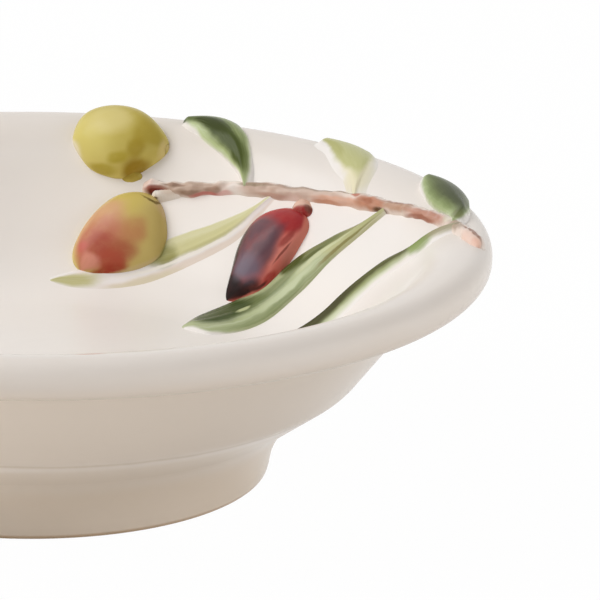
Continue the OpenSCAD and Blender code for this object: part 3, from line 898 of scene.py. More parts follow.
# %% Back pale leaf
route = Route((32.6, 0.223), (36.5, 0.110), (40.5, 0.058), (45, 0.010), (49.5, -0.015))
blade = leaf_shape(
    lip_side=(0.3, 0.5, 1.1, 1.7, 2.4, 2.8, 3.2, 3.0, 2.4, 1.6, 0.5),
    floor_side=(0.6, 1.4, 2.2, 2.6, 2.8, 2.9, 2.7, 2.3, 1.8, 1.5, 0.9),
    crown=1.6, edge=0.8, margin=2.0)
leaf = Painting("back pale leaf paint", cream, seed=2, patchy=0.08)
# A thin yellowish wash from the stem upwards
leaf.mark((230, 222, 188), centre=(0.15, 0.50), reach=(0.16, 0.50), strength=0.8, softness=0.7)
leaf.mark((230, 222, 188), centre=(0.36, 0.48), reach=(0.40, 0.38), strength=0.9, softness=0.5)
# The pale green of the upper blade
leaf.mark((192, 191, 134), centre=(0.64, 0.46), reach=(0.46, 0.40), strength=1.0, softness=0.35)
# Two deeper touches along its edges
leaf.mark((176, 174, 108), centre=(0.76, 0.72), reach=(0.20, 0.12), strength=0.8, softness=0.9)
leaf.mark((178, 177, 112), centre=(0.80, 0.10), reach=(0.20, 0.14), strength=0.8, softness=0.8)
hand_over("painted_back_pale_leaf", lay_strip(route, 72, 24, blade), leaf.glazed(),
          "back_pale_leaf")

# %% [markdown]
# ## The leaf along the lip
#
# Near its end the twig carries a short dark leaf that lies along the lip itself, and it stands proud of
# the outline. It could be copied from the other dark leaf and turned, but its two sides are far from
# alike, so it has its own widths and a higher edge. It meets the light at a low angle, where full gloss
# would veil the dark paint, so its glaze takes less of it.

# %% Leaf along the lip
route = Route((3.9, 0.061), (8.5, 0.018), (14, 0.012), (20, 0.003), (26, 0.008))
blade = leaf_shape(
    lip_side=(0.8, 0.9, 0.8, 0.9, 1.5, 2.1, 2.4, 2.6, 2.6, 1.9, 0.5),
    floor_side=(0.5, 1.4, 2.3, 2.8, 3.2, 3.5, 3.7, 3.7, 3.2, 2.2, 0.5),
    crown=2.3, edge=1.2, margin=0.7, rib=0.1)
leaf = Painting("rim tip leaf paint", cream, seed=3, patchy=0.1)
# A pale green ground with a mid green over it
leaf.mark((176, 189, 138), centre=(0.48, 0.50), reach=(0.56, 0.46), softness=0.3)
leaf.mark((134, 148, 92), centre=(0.50, 0.48), reach=(0.48, 0.38), strength=0.95, softness=0.5)
# The dull green of the stem end
leaf.mark((124, 128, 80), centre=(0.10, 0.46), reach=(0.08, 0.30), strength=0.8, softness=0.8)
# The dark middle of the blade
leaf.mark((84, 92, 52), centre=(0.55, 0.42), reach=(0.42, 0.32), strength=1.0, softness=0.8)
leaf.mark((68, 75, 42), centre=(0.46, 0.46), reach=(0.28, 0.18), strength=1.0, softness=0.9)
# A painted sheen, lighter where the blade catches the light
leaf.mark((104, 112, 76), centre=(0.34, 0.24), reach=(0.18, 0.10), strength=0.5, softness=0.9)
hand_over("painted_rim_tip_leaf", lay_strip(route, 72, 24, blade), leaf.glazed(specular=0.04),
          "rim_tip_leaf")

# %% [markdown]
# ## The long pale leaf
#
# A long leaf runs from the twig down behind the blush olive and out to the left. It lies almost flat in
# the wall, and only its edge towards the lip stands up, so the shape is given a lean. A flat decal could
# be laid on the wall for so low a leaf, but its raised edge catches the light. One half is washed in pale
# green, the other is a faint pink, and a white rib parts them.

# %% Long pale leaf
route = Route((49.4, 0.285), (54.5, 0.470), (61, 0.590), (70, 0.700), (80, 0.775), (89, 0.800))
blade = leaf_shape(
    lip_side=(0.5, 1.1, 2.5, 3.2, 3.8, 4.0, 3.8, 3.2, 2.4, 1.5, 0.3),
    floor_side=(0.5, 1.5, 2.6, 2.8, 3.0, 3.6, 4.2, 4.0, 3.2, 2.0, 0.4),
    crown=0.9, edge=0.3, margin=1.0, rib=0.3, lean=0.85)
leaf = Painting("long pale leaf paint", cream, seed=4, patchy=0.1)
# A pinkish wash on the half towards the floor
leaf.mark((228, 210, 194), centre=(0.38, 0.85), reach=(0.36, 0.15), strength=0.9, softness=0.8)
leaf.mark((216, 204, 170), centre=(0.60, 0.86), reach=(0.13, 0.12), strength=0.7, softness=0.9)
# Pale green on the half towards the lip
leaf.mark((210, 205, 154), centre=(0.32, 0.34), reach=(0.31, 0.25), strength=0.95, softness=0.4)
leaf.mark((200, 194, 136), centre=(0.32, 0.42), reach=(0.20, 0.13), strength=0.8, softness=0.9)
# The green that gathers beside the blush olive
leaf.mark((150, 146, 82), centre=(0.51, 0.42), reach=(0.055, 0.24), strength=0.9, softness=0.9)
# The green tip
leaf.mark((190, 184, 120), centre=(0.90, 0.60), reach=(0.13, 0.26), strength=0.9, softness=0.9)
# The white rib
leaf.mark((246, 239, 228), centre=(0.36, 0.63), reach=(0.30, 0.04), strength=0.9, softness=0.9)
hand_over("painted_long_pale_leaf", lay_strip(route, 96, 24, blade), leaf.glazed(),
          "long_pale_leaf")

# %% [markdown]
# ## The leaf under the dark olive
#
# The largest leaf swings down from the twig, passes under the dark olive and ends in a broad tip near the
# floor. The olive could be cut out of it with a Boolean, but the clay pieces are pressed into each other,
# so they may simply overlap. Its painter worked with a loaded brush: dark green, with painted shade where
# the olive would throw its shadow, a pale rib with a painted highlight along it, a small painted
# highlight, and thin brown green lines along the lower edge.

# %% Leaf under the dark olive
route = Route((23.8, 0.184), (28, 0.360), (32, 0.490), (34.2, 0.630), (36, 0.760), (40.2, 0.905),
              (45.2, 1.030))
blade = leaf_shape(
    lip_side=(0.4, 1.1, 2.6, 3.1, 4.3, 4.9, 5.4, 5.8, 5.6, 4.2, 0.4),
    floor_side=(0.4, 0.9, 1.6, 2.9, 3.6, 3.6, 4.0, 5.2, 5.6, 4.8, 1.0),
    crown=1.3, edge=0.55, margin=0.5, rib=0.2)
leaf = Painting("under olive leaf paint", cream, seed=5)
# A grey green ground, yellower at the stem
leaf.mark((176, 184, 138), centre=(0.52, 0.50), reach=(0.52, 0.52), softness=0.2)
leaf.mark((186, 184, 132), centre=(0.13, 0.55), reach=(0.15, 0.52), strength=0.9, softness=0.5)
# Darker green along the half towards the lip, up to the dark olive
leaf.mark((136, 138, 84), centre=(0.18, 0.26), reach=(0.12, 0.20), strength=0.9, softness=0.8)
leaf.mark((106, 114, 64), centre=(0.32, 0.30), reach=(0.14, 0.18), strength=0.9, softness=0.8)
leaf.mark((90, 98, 52), centre=(0.34, 0.40), reach=(0.07, 0.07), strength=0.9, softness=0.9)
leaf.mark((74, 84, 38), centre=(0.43, 0.20), reach=(0.06, 0.22), strength=1.0, softness=0.7)
# Green below the olive darkened as painted shade, darkest near the tip
leaf.mark((130, 140, 100), centre=(0.58, 0.42), reach=(0.16, 0.12), strength=0.9, softness=0.8)
leaf.mark((104, 114, 64), centre=(0.72, 0.42), reach=(0.12, 0.16), strength=0.9, softness=0.8)
leaf.mark((64, 76, 32), centre=(0.82, 0.34), reach=(0.14, 0.30), strength=1.0, softness=0.6)
# The pale rib, with a painted highlight along its ridge
leaf.mark((208, 210, 168), centre=(0.28, 0.54), reach=(0.14, 0.05), strength=0.8, softness=0.8, turn=8)
leaf.mark((200, 207, 168), centre=(0.52, 0.66), reach=(0.18, 0.07), strength=0.7, softness=0.9)
# Thin lines of brown green on the half towards the floor
leaf.mark((136, 128, 76), centre=(0.20, 0.78), reach=(0.14, 0.06), strength=0.9, softness=0.9)
leaf.mark((128, 138, 90), centre=(0.60, 0.81), reach=(0.24, 0.08), strength=0.8, softness=0.9)
# A small painted highlight
leaf.mark((206, 210, 156), centre=(0.73, 0.48), reach=(0.03, 0.05), strength=0.8, softness=0.8)
hand_over("painted_under_olive_leaf", lay_strip(route, 110, 28, blade), leaf.glazed(),
          "under_olive_leaf")

# %% [markdown]
# ## The front leaf
#
# The last leaf leaves the twig near the lip and runs down to the front, where the rim hides its end. It
# is a single sharp fold: the edge towards the lip stands up and the rest lies down to the wall. A crease
# in a flat blade could make that fold, but it would need a seam of its own. A strong lean in the leaf's
# shape does the same, and the dark paint follows the upper edge.

# %% Front leaf
route = Route((2.25, 0.047), (4.4, 0.245), (9.0, 0.385), (11.9, 0.530), (13.2, 0.685), (14.1, 0.835),
              (14.4, 0.955))
blade = leaf_shape(
    lip_side=(0.4, 0.5, 1.6, 2.2, 2.4, 2.6, 2.6, 2.4, 1.9, 1.2, 0.3),
    floor_side=(0.4, 1.5, 0.9, 1.0, 1.5, 2.2, 2.4, 2.2, 1.9, 1.3, 0.3),
    crown=1.5, edge=1.5, margin=0.5, lean=0.9)
leaf = Painting("front leaf paint", cream, seed=6)
# Pale green that fades out towards the wall
leaf.mark((206, 212, 176), centre=(0.56, 0.46), reach=(0.40, 0.28), strength=0.9, softness=0.9)
leaf.mark((142, 150, 94), centre=(0.52, 0.30), reach=(0.44, 0.25), strength=0.9, softness=0.9)
# The dark stroke along the upper edge
leaf.mark((88, 88, 48), centre=(0.46, 0.15), reach=(0.40, 0.23), strength=1.0, softness=0.7)
leaf.mark((72, 70, 38), centre=(0.66, 0.26), reach=(0.20, 0.22), strength=1.0, softness=0.8)
# Fresh green, brown green and clay colour near the stem
leaf.mark((142, 160, 92), centre=(0.12, 0.30), reach=(0.05, 0.50), strength=0.9, softness=0.7)
leaf.mark((104, 102, 60), centre=(0.17, 0.05), reach=(0.12, 0.13), strength=0.9, softness=0.8)
leaf.mark((176, 168, 136), centre=(0.04, 0.36), reach=(0.05, 0.36), strength=0.85, softness=0.8)
hand_over("painted_front_leaf", lay_strip(route, 110, 24, blade), leaf.glazed(),
          "front_leaf")

# %% [markdown]
# ## The green olive
#
# The unripe olive lies high on the wall and stands over the back rim, so it shows in the outline. Its
# form needs no more than the olive helper, with a small point at the stalk end. One green with a noise
# over it would look like plastic. The painter put a yellow green wash all over and came back with deeper
# olive green near the stalk, and a pale painted highlight runs along the top.

# %% Green olive
fruit = lay_olive(
    Route((71.6, 0.190), (78.9, 0.180), (86.6, 0.170)), width=15.6, rise=5.9,
    lip_side=(0.75, 0.85, 0.96, 1.05, 1.2, 1.5), floor_side=(0.75, 0.93, 1.0, 0.98, 0.95, 0.7), point=0.025)
skin = Painting("green olive paint", screen_colour(212, 196, 112), shake=(0.03, 0.03), streaks=(5, 7), seed=7)
# Yellow green washes, and a painted highlight along the top
skin.mark((194, 174, 70), centre=(0.45, 0.28), reach=(0.52, 0.14), strength=0.85, softness=0.9)
skin.mark((188, 168, 80), centre=(0.26, 0.58), reach=(0.30, 0.34), strength=0.7, softness=0.9)
# painted highlight along the top of the fruit
skin.mark((220, 204, 136), centre=(0.60, 0.43), reach=(0.24, 0.10), strength=0.8, softness=0.9)
# Deeper olive green near the stalk end
skin.mark((170, 148, 54), centre=(0.16, 0.46), reach=(0.17, 0.16), strength=0.8, softness=0.9)
skin.mark((166, 142, 46), centre=(0.26, 0.64), reach=(0.09, 0.10), strength=0.8, softness=0.9)
# Two strokes on the side towards the floor
skin.mark((178, 158, 56), centre=(0.44, 0.74), reach=(0.12, 0.06), strength=0.85, softness=0.8, turn=14)
skin.mark((178, 158, 56), centre=(0.62, 0.90), reach=(0.16, 0.08), strength=0.85, softness=0.8, turn=10)
# The brown green patch above the stalk
skin.mark((156, 126, 38), centre=(0.25, 0.90), reach=(0.13, 0.15), strength=0.95, softness=0.8)
# Thin paint at the tip and at the stalk end
skin.mark((232, 220, 190), centre=(0.98, 0.92), reach=(0.10, 0.20), strength=0.9, softness=0.9)
skin.mark((222, 200, 142), centre=(0.00, 0.70), reach=(0.05, 0.40), strength=0.6, softness=0.9)
hand_over("painted_green_olive", fruit, skin.glazed(), "green_olive")

# %% [markdown]
# ## The blush olive
#
# Below the end of the twig hangs an olive that is half ripe. It turns from yellow green at the stalk
# through orange to brick red at the tip. A ramp along the fruit could carry the colours, but the real
# change is patchy and runs further on one side. Soft marks that overlap widely give patches without
# edges, and one thin line is the shade beside the stalk.

# %% Blush olive
fruit = lay_olive(
    Route((70.8, 0.404), (76.0, 0.570), (82.4, 0.745)), width=14.8, rise=5.4,
    lip_side=(1.0, 1.05, 1.0, 0.96, 0.95, 1.0), floor_side=(1.05, 1.24, 1.38, 1.26, 1.1, 0.95))
skin = Painting("blush olive paint", screen_colour(206, 184, 112), shake=(0.035, 0.035), streaks=(8, 8),
                seed=8, patchy=0.2)
# Yellow green at the stalk end
skin.mark((208, 185, 96), centre=(0.24, 0.34), reach=(0.20, 0.22), strength=0.7, softness=1.0)
skin.mark((196, 171, 100), centre=(0.26, 0.74), reach=(0.20, 0.18), strength=0.6, softness=1.0)
# Orange blush in the middle
skin.mark((208, 152, 112), centre=(0.62, 0.25), reach=(0.26, 0.16), strength=0.85, softness=1.2)
skin.mark((214, 164, 126), centre=(0.44, 0.38), reach=(0.15, 0.13), strength=0.9, softness=1.2)
skin.mark((203, 135, 111), centre=(0.55, 0.48), reach=(0.14, 0.12), strength=0.85, softness=1.3)
skin.mark((188, 124, 84), centre=(0.43, 0.63), reach=(0.15, 0.09), strength=0.8, softness=1.2)
# Brick red towards the tip
skin.mark((186, 104, 84), centre=(0.80, 0.52), reach=(0.25, 0.30), strength=0.95, softness=1.0)
skin.mark((168, 80, 66), centre=(0.77, 0.57), reach=(0.14, 0.14), strength=0.85, softness=1.3)
skin.mark((168, 88, 62), centre=(0.70, 0.71), reach=(0.17, 0.10), strength=0.85, softness=1.2)
skin.mark((174, 78, 58), centre=(0.80, 0.76), reach=(0.13, 0.14), strength=0.9, softness=1.1)
skin.mark((164, 66, 46), centre=(0.85, 0.88), reach=(0.13, 0.09), strength=1.0, softness=0.9)
skin.mark((196, 98, 88), centre=(0.87, 0.35), reach=(0.06, 0.09), strength=0.8, softness=1.2)
# A pale pink painted highlight at the tip
skin.mark((217, 147, 127), centre=(0.94, 0.60), reach=(0.07, 0.16), strength=0.9, softness=1.0)
# Thin yellow paint along the edges
skin.mark((208, 186, 138), centre=(0.58, 0.98), reach=(0.26, 0.07), strength=0.9, softness=0.8)
skin.mark((160, 156, 88), centre=(0.38, 0.99), reach=(0.10, 0.06), strength=0.8, softness=0.8)
skin.mark((210, 181, 138), centre=(0.04, 0.86), reach=(0.06, 0.22), strength=0.7, softness=0.9)
skin.mark((216, 196, 128), centre=(0.66, 0.01), reach=(0.36, 0.04), strength=0.6, softness=0.8)
# The dark line beside the stalk
skin.mark((112, 88, 36), centre=(0.05, 0.60), reach=(0.22, 0.013), strength=0.95, softness=0.8, turn=101)
hand_over("painted_blush_olive", fruit, skin.glazed(), "blush_olive")

# %% [markdown]
# ## The dark olive
#
# The ripe olive in the middle is the darkest spot of the dish: crimson at the stalk, aubergine over the
# belly, nearly black along its left side and salmon where the paint lies thin on the right. Such deep
# colours could be one dark paint with strong highlights, but highlights move with the eye and these
# don't. The black marks are laid twice, because a brush's streaks always let a little of the ground
# through.

# %% Dark olive
fruit = lay_olive(
    Route((42.6, 0.338), (44.4, 0.552), (46.1, 0.775)), width=13.0, rise=4.9,
    lip_side=(1.3, 1.38, 1.20, 0.94, 0.61, 0.3), floor_side=(1.4, 1.06, 1.0, 1.02, 1.08, 0.9))
skin = Painting("dark olive paint", screen_colour(196, 96, 86), shake=(0.035, 0.035), streaks=(7, 7), seed=9)
# Salmon on the side towards the floor
skin.mark((230, 142, 128), centre=(0.32, 0.90), reach=(0.36, 0.16), strength=0.9, softness=0.8)
# Crimson at the stalk end
skin.mark((182, 64, 66), centre=(0.16, 0.20), reach=(0.15, 0.24), strength=0.9, softness=0.9)
skin.mark((164, 49, 51), centre=(0.13, 0.60), reach=(0.13, 0.26), strength=1.0, softness=0.6)
skin.mark((203, 118, 98), centre=(0.06, 0.92), reach=(0.07, 0.09), strength=0.8, softness=0.9)
# Aubergine over the belly
skin.mark((108, 76, 82), centre=(0.52, 0.46), reach=(0.32, 0.31), strength=1.0, softness=0.4)
skin.mark((150, 72, 66), centre=(0.32, 0.16), reach=(0.14, 0.09), strength=0.8, softness=0.9)
skin.mark((92, 64, 72), centre=(0.38, 0.64), reach=(0.18, 0.06), strength=0.7, softness=1.0)
# Nearly black on the side towards the lip and at the tip
skin.mark((52, 40, 36), centre=(0.70, 0.13), reach=(0.36, 0.20), strength=1.0, softness=0.7)
skin.mark((48, 37, 34), centre=(0.78, 0.16), reach=(0.22, 0.18), strength=1.0, softness=0.8)
skin.mark((46, 36, 36), centre=(0.94, 0.46), reach=(0.14, 0.40), strength=1.0, softness=0.8)
skin.mark((44, 34, 34), centre=(0.95, 0.48), reach=(0.11, 0.34), strength=1.0, softness=0.8)
skin.mark((44, 26, 26), centre=(0.84, 0.80), reach=(0.11, 0.11), strength=1.0, softness=0.8)
# A greyish painted reflection
skin.mark((114, 102, 116), centre=(0.70, 0.60), reach=(0.13, 0.17), strength=0.9, softness=1.1)
# Red and brown strokes beside the leaf
skin.mark((212, 108, 94), centre=(0.52, 0.91), reach=(0.10, 0.07), strength=0.8, softness=0.9)
skin.mark((176, 62, 56), centre=(0.65, 0.90), reach=(0.09, 0.06), strength=0.9, softness=0.8)
skin.mark((146, 50, 46), centre=(0.28, 0.78), reach=(0.10, 0.04), strength=0.8, softness=0.9, turn=-8)
skin.mark((212, 130, 114), centre=(0.24, 0.92), reach=(0.22, 0.07), strength=0.9, softness=0.9)
skin.mark((128, 58, 48), centre=(0.40, 0.84), reach=(0.11, 0.014), strength=0.8, softness=0.9, turn=-5)
skin.mark((72, 36, 32), centre=(0.77, 0.89), reach=(0.08, 0.022), strength=0.9, softness=0.8)
# A salmon touch at the tip
skin.mark((226, 128, 116), centre=(0.87, 0.97), reach=(0.09, 0.09), strength=1.0, softness=0.6)
hand_over("painted_dark_olive", fruit, skin.glazed(), "dark_olive")

# %% [markdown]
# ## The twig
#
# The twig ties the sprig together: it runs from the olives at the left along the wall and out over the
# lip at the right. It is as thick as a match and is knobbly at its left end and smoother at the right. It
# could be built in lengths from knot to knot, but seams would show. One long strip with changing widths,
# heights and knobs has none.

# %% Model the twig
twig_route = Route((74, 0.358), (66, 0.346), (58, 0.310), (50, 0.287), (42, 0.262), (34, 0.228),
                   (26, 0.196), (18, 0.152), (11, 0.110), (4, 0.062), (-1, 0.020), (-6, -0.030))
twig = lay_strip(twig_route, 320, 14, stem_shape(
    widths=(2.4, 2.5, 2.2, 2.4, 2.6, 2.1, 2.2, 2.6, 2.1, 2.0, 2.1, 2.4, 2.2, 2.4, 2.2),
    rises=(1.7, 1.7, 1.4, 1.3, 1.6, 1.4, 1.5, 1.6, 1.4, 1.3, 1.2, 1.4, 1.4, 1.4, 1.3),
    knobs=(0.42, 0.38, 0.3, 0.26, 0.2, 0.16), taper=0.02))
print("twig length in mm:", round(twig_route.length() / MM, 1))

# %% [markdown]
# ## The bark at the left
#
# Bark isn't one brown. At its left end the twig is red brown in its hollows and pale on its ridges, and
# it changes from knot to knot. A noise texture could mix the browns, but it would put them anywhere. The
# painter put each one where a knot or a leaf asks for it, so the bark is painted mark by mark as well,
# with little shake along the twig and much across it.

# %% Paint the left of the twig
bark = Painting("twig paint", screen_colour(238, 227, 218), shake=(0.006, 0.10), streaks=(26, 6), seed=10,
                patchy=0.14)
# A thin warm wash over the whole twig
bark.mark((230, 208, 194), centre=(0.50, 0.40), reach=(0.60, 0.44), strength=0.7, softness=0.8)
# The red brown left end
bark.mark((232, 202, 190), centre=(0.010, 0.55), reach=(0.016, 0.40), strength=0.8, softness=0.8)
bark.mark((148, 80, 66), centre=(0.036, 0.24), reach=(0.028, 0.20), strength=0.95, softness=0.8)
bark.mark((118, 44, 36), centre=(0.031, 0.15), reach=(0.015, 0.11), strength=1.0, softness=0.8)
# Brown bark up to the first knot, with red beneath
bark.mark((190, 163, 144), centre=(0.105, 0.42), reach=(0.060, 0.36), strength=0.95, softness=0.6)
bark.mark((148, 116, 96), centre=(0.066, 0.56), reach=(0.022, 0.10), strength=0.8, softness=0.9)
bark.mark((148, 116, 96), centre=(0.098, 0.18), reach=(0.020, 0.10), strength=0.8, softness=0.9)
bark.mark((164, 132, 114), centre=(0.148, 0.24), reach=(0.016, 0.20), strength=0.9, softness=0.8)
bark.mark((196, 118, 110), centre=(0.128, 0.07), reach=(0.030, 0.07), strength=0.9, softness=0.8)
bark.mark((224, 176, 170), centre=(0.170, 0.08), reach=(0.016, 0.10), strength=0.8, softness=0.9)
# The bare knot under the back dark leaf
bark.mark((240, 229, 220), centre=(0.195, 0.34), reach=(0.018, 0.36), strength=0.9, softness=0.7)
# Brown bark as far as the dark olive
bark.mark((200, 174, 157), centre=(0.262, 0.36), reach=(0.062, 0.36), strength=0.95, softness=0.6)
bark.mark((150, 130, 104), centre=(0.228, 0.62), reach=(0.030, 0.14), strength=0.9, softness=0.8)
bark.mark((176, 148, 130), centre=(0.30, 0.66), reach=(0.08, 0.08), strength=0.8, softness=0.9)
bark.mark((194, 157, 140), centre=(0.275, 0.14), reach=(0.03, 0.10), strength=0.8, softness=0.9)
bark.mark((206, 180, 164), centre=(0.37, 0.44), reach=(0.07, 0.30), strength=0.9, softness=0.7)
print("marks for the left of the twig:", sum(node.type == "GROUP" for node in bark.tree.nodes))

# %% [markdown]
# ## The bark at the right
#
# Right of the dark olive the bark turns redder, with a dark notch where the large leaf grows from it, and
# it ends in a pale, pinkish stub on the lip. This could be a second painting, but a new one would start
# its streaks afresh and show a seam. The marks go on over the same painting, and then the twig is glazed.

# %% Paint the right of the twig
# Grey brown above and orange brown below, beside the dark olive
bark.mark((164, 144, 126), centre=(0.39, 0.76), reach=(0.09, 0.09), strength=0.9, softness=0.9)
bark.mark((220, 172, 148), centre=(0.44, 0.22), reach=(0.07, 0.20), strength=0.9, softness=0.8)
bark.mark((200, 141, 112), centre=(0.40, 0.08), reach=(0.035, 0.08), strength=0.8, softness=0.8)
# Red brown where two leaves grow from it, and a dark notch
bark.mark((186, 110, 84), centre=(0.475, 0.66), reach=(0.012, 0.12), strength=0.95, softness=0.8)
bark.mark((191, 132, 104), centre=(0.525, 0.40), reach=(0.044, 0.34), strength=0.95, softness=0.7)
bark.mark((166, 106, 80), centre=(0.515, 0.46), reach=(0.014, 0.16), strength=0.8, softness=0.9)
bark.mark((102, 72, 50), centre=(0.552, 0.10), reach=(0.020, 0.12), strength=1.0, softness=0.8)
# Red brown bark towards the lip
bark.mark((184, 143, 117), centre=(0.605, 0.44), reach=(0.047, 0.26), strength=0.95, softness=0.8)
bark.mark((156, 116, 92), centre=(0.60, 0.66), reach=(0.05, 0.08), strength=0.8, softness=0.9)
bark.mark((187, 132, 110), centre=(0.715, 0.30), reach=(0.078, 0.28), strength=0.95, softness=0.7)
bark.mark((160, 104, 84), centre=(0.69, 0.10), reach=(0.055, 0.09), strength=0.9, softness=0.8)
# The pale, pinkish end on the lip
bark.mark((224, 216, 192), centre=(0.795, 0.54), reach=(0.014, 0.30), strength=0.7, softness=0.8)
bark.mark((172, 151, 129), centre=(0.845, 0.40), reach=(0.036, 0.28), strength=0.9, softness=0.8)
bark.mark((236, 205, 189), centre=(0.955, 0.22), reach=(0.05, 0.30), strength=0.95, softness=0.8)
bark.mark((148, 108, 88), centre=(0.935, 0.54), reach=(0.055, 0.10), strength=0.95, softness=0.8)
bark.mark((234, 189, 168), centre=(0.99, 0.30), reach=(0.02, 0.22), strength=0.8, softness=0.9)
hand_over("painted_main_twig", twig, bark.glazed(), "main_twig")

# %% [markdown]
# ## The green olive's stalk
#
# The green olive's stalk is hardly more than a drop of clay that joins the olive's lower side. It could
# be left to the paint, but a bit of relief catches the light. It is a short, flat stem that widens
# towards the fruit and takes the olive's own green.

# %% Stalk of the green olive
stalk = lay_strip(Route((77.5, 0.338), (76.8, 0.314), (76.1, 0.284)), 48, 16, stem_shape(
    widths=(1.2, 3.2, 5.2), rises=(0.4, 0.9, 1.5), knobs=(0.05, 0.05), margin=0.7, seed=11, taper=0.3))
bark = Painting("green stalk paint", screen_colour(188, 168, 84), seed=12)
bark.mark((164, 138, 46), centre=(0.6, 0.5), reach=(0.5, 0.36), strength=0.9, softness=0.9)
hand_over("painted_green_olive_stalk", stalk, bark.glazed(), "green_olive_stalk")

# %% [markdown]
# ## The blush olive's stalk
#
# The blush olive hangs from the end of the twig by a short, pale stalk. It could be one more branch of
# the twig's own strip, but a strip can't fork. It is a stem of its own that starts against the twig, with
# a brown wash in the middle and a dark touch of painted shade where it meets the olive.

# %% Stalk of the blush olive
stalk = lay_strip(Route((66.6, 0.356), (69.2, 0.378), (71.9, 0.398)), 60, 16, stem_shape(
    widths=(1.5, 1.7, 1.9), rises=(1.0, 1.3, 1.7), knobs=(0.05, 0.05), margin=0.7, seed=17, taper=0.15))
bark = Painting("blush stalk paint", screen_colour(240, 229, 218), seed=13)
bark.mark((208, 186, 166), centre=(0.35, 0.4), reach=(0.35, 0.36), strength=0.8, softness=0.8)
# painted shade where the stalk meets the olive
bark.mark((124, 98, 56), centre=(0.92, 0.82), reach=(0.14, 0.09), strength=0.95, softness=0.6)
hand_over("painted_blush_olive_stalk", stalk, bark.glazed(), "blush_olive_stalk")

# %% [markdown]
# ## The dark olive's cap
#
# The dark olive hangs right under the twig, from a stalk so short that only its swollen cap shows. A
# small sphere could stand for it, but it would look stuck on. A stem that widens and rises towards the
# fruit grows out of the twig instead: clay coloured at the twig, dark red at the olive, with brown
# strokes along its sides.

# %% Cap of the dark olive
stalk = lay_strip(Route((44.2, 0.288), (43.1, 0.324), (41.9, 0.366)), 60, 20, stem_shape(
    widths=(1.8, 3.4, 5.4), rises=(1.0, 1.6, 2.0), knobs=(0.03, 0.03), margin=0.5, seed=23, taper=0.3))
bark = Painting("dark olive cap paint", screen_colour(226, 188, 168), streaks=(5, 5), seed=11)
bark.mark((156, 48, 46), centre=(1.0, 0.5), reach=(0.40, 0.80), strength=1.0, softness=0.5)
bark.mark((96, 56, 44), centre=(0.40, 0.20), reach=(0.40, 0.07), strength=0.95, softness=0.7)
bark.mark((116, 74, 62), centre=(0.74, 0.86), reach=(0.18, 0.12), strength=0.8, softness=0.9)
hand_over("painted_dark_olive_stalk", stalk, bark.glazed(), "dark_olive_stalk")

# %% [markdown]
# ## The floor
#
# The dish stands on a plain pale table that fades into a white background. A white picture could be put
# behind it, but then no shadow would lie under the foot. A shader can tell which kind of ray asks for its
# colour: to the camera and to reflections the floor is white, with only a trace of shadow, and to the
# dish it is a pale, warm surface that throws light back up. It lies a hair under the foot, so that the
# two faces don't flicker through each other.

# %% Floor
def seen_directly(tree):
    """1 for rays from the camera and for rays mirrored or bent by a surface."""
    rays = add_node(tree, "ShaderNodeLightPath").outputs
    first = maths(tree, "MAXIMUM", rays["Is Camera Ray"], rays["Is Glossy Ray"])
    return maths(tree, "MAXIMUM", first, rays["Is Transmission Ray"])


floor_half_width = 3
floor_gap = 0.05 * MM
floor_whiteness = 0.985

floor_builder = bmesh.new()
bmesh.ops.create_grid(floor_builder, x_segments=1, y_segments=1, size=floor_half_width)
bmesh.ops.translate(floor_builder, verts=floor_builder.verts, vec=(0, 0, -floor_gap))
floor_mesh = bpy.data.meshes.new("floor")
floor_builder.to_mesh(floor_mesh)
floor_builder.free()
floor = bpy.data.objects.new("floor", floor_mesh)
bpy.context.scene.collection.objects.link(floor)
floor_paint = new_material("floor")
tree = floor_paint.node_tree
white = add_node(tree, "ShaderNodeEmission", {}, {"Color": (1, 1, 1, 1), "Strength": 1.0})
matte = add_node(tree, "ShaderNodeBsdfDiffuse", {}, {"Color": (0.95, 0.90, 0.84, 1)})
mix = add_node(tree, "ShaderNodeMixShader", {}, {
    0: maths(tree, "MULTIPLY", seen_directly(tree), floor_whiteness),
    1: matte.outputs["BSDF"], 2: white.outputs["Emission"]})
add_node(tree, "ShaderNodeOutputMaterial", {}, {"Surface": mix.outputs["Shader"]})
floor_mesh.materials.append(floor_paint)
print("floor is", 2 * floor_half_width, "m wide")

# %% [markdown]
# ## World
#
# Round the dish there is soft light from everywhere, as in a light tent. A picture of a studio could
# surround the scene, but the script reads no pictures, and an even world is what a tent looks like. It is
# dim where it lights the dish, so that the pale glaze keeps its tone, and white where the camera or a
# reflection sees it.

# %% World
world = bpy.data.worlds.new("studio")
bpy.context.scene.world = world
world.use_nodes = True
tree = world.node_tree
tree.nodes.clear()
dim = add_node(tree, "ShaderNodeBackground", {}, {"Color": (0.98, 0.99, 1, 1), "Strength": 0.36})
bright = add_node(tree, "ShaderNodeBackground", {}, {"Color": (1, 1, 1, 1), "Strength": 1.0})
mix = add_node(tree, "ShaderNodeMixShader", {}, {
    0: seen_directly(tree), 1: dim.outputs["Background"], 2: bright.outputs["Background"]})
add_node(tree, "ShaderNodeOutputWorld", {}, {"Surface": mix.outputs["Shader"]})
print("world light:", dim.inputs["Strength"].default_value)

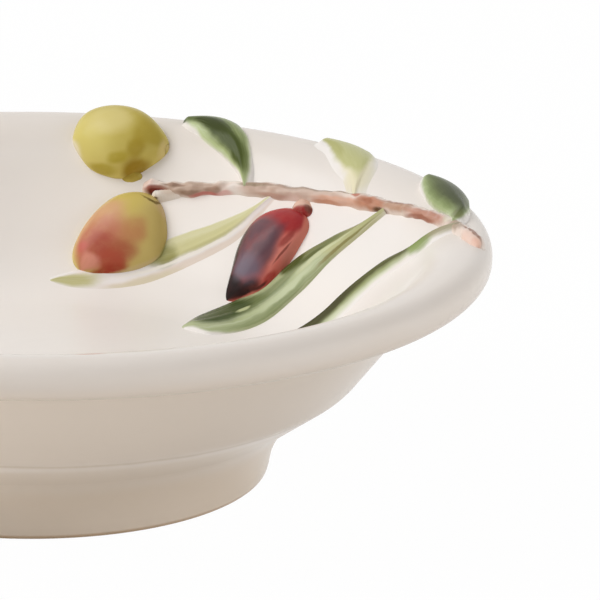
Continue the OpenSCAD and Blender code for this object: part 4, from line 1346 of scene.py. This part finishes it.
# %% [markdown]
# ## Lamps
#
# One large soft lamp at the upper left gives the light its direction, and three low ones lighten the
# outside of the bowl from the right and from the front. Point lamps or a sun would throw hard shadows
# behind the leaves. Square area lamps, each a metre wide and about a metre and a half from the dish, make
# shadows as soft as the photograph's.

# %% Lamps
lamp_size = 1.0


def add_lamp(name, place, watts):
    """A square lamp that shines at the middle of the dish."""
    data = bpy.data.lights.new(name, "AREA")
    data.energy = watts
    data.size = lamp_size
    lamp = bpy.data.objects.new(name, data)
    lamp.location = place
    lamp.rotation_mode = "QUATERNION"
    lamp.rotation_quaternion = (Vector((0, 0, dish_height)) - lamp.location).to_track_quat("-Z", "Y")
    bpy.context.scene.collection.objects.link(lamp)
    print(name, "shines with", watts, "W")


add_lamp("key", (-1.0, 0.05, 1.05), 14.4)
add_lamp("right fill", (1.35, -0.1, 0.3), 5.6)
add_lamp("front right fill", (1.0, -1.1, 0.15), 3.1)
add_lamp("front left fill", (-1.0, -1.1, 0.15), 3.1)

# %% [markdown]
# ## Camera
#
# The photograph was taken from a little above with a long lens, and it cuts the dish off at its left. A
# Track To constraint could aim the camera, but it can't hold the slight roll of a camera in the hand. So
# the camera's three axes are worked out from its tilt, its roll and the point that it looks at, and each
# can be fitted to the outlines by itself.

# %% Camera
camera_data = bpy.data.cameras.new("camera")
camera_data.sensor_width = 36
camera_data.lens = 331.1
camera = bpy.data.objects.new("camera", camera_data)
tilt = math.radians(16.72)
roll = math.radians(1.07)
aim = Vector((49.725, 0, 32.64)) * MM
distance = 1020 * MM
forward = Vector((0, math.cos(tilt), -math.sin(tilt)))
right = Vector((1, 0, 0))
up = Vector((0, math.sin(tilt), math.cos(tilt)))
turned_right = math.cos(roll) * right + math.sin(roll) * up
turned_up = math.cos(roll) * up - math.sin(roll) * right
camera.matrix_world = Matrix.Translation(aim - distance * forward) @ Matrix(
    (turned_right, turned_up, -forward)).transposed().to_4x4()
bpy.context.scene.collection.objects.link(camera)
bpy.context.scene.camera = camera
bpy.context.scene.view_settings.view_transform = "Standard"
print("the picture is", round(distance * camera_data.sensor_width / camera_data.lens / MM, 1), "mm wide")
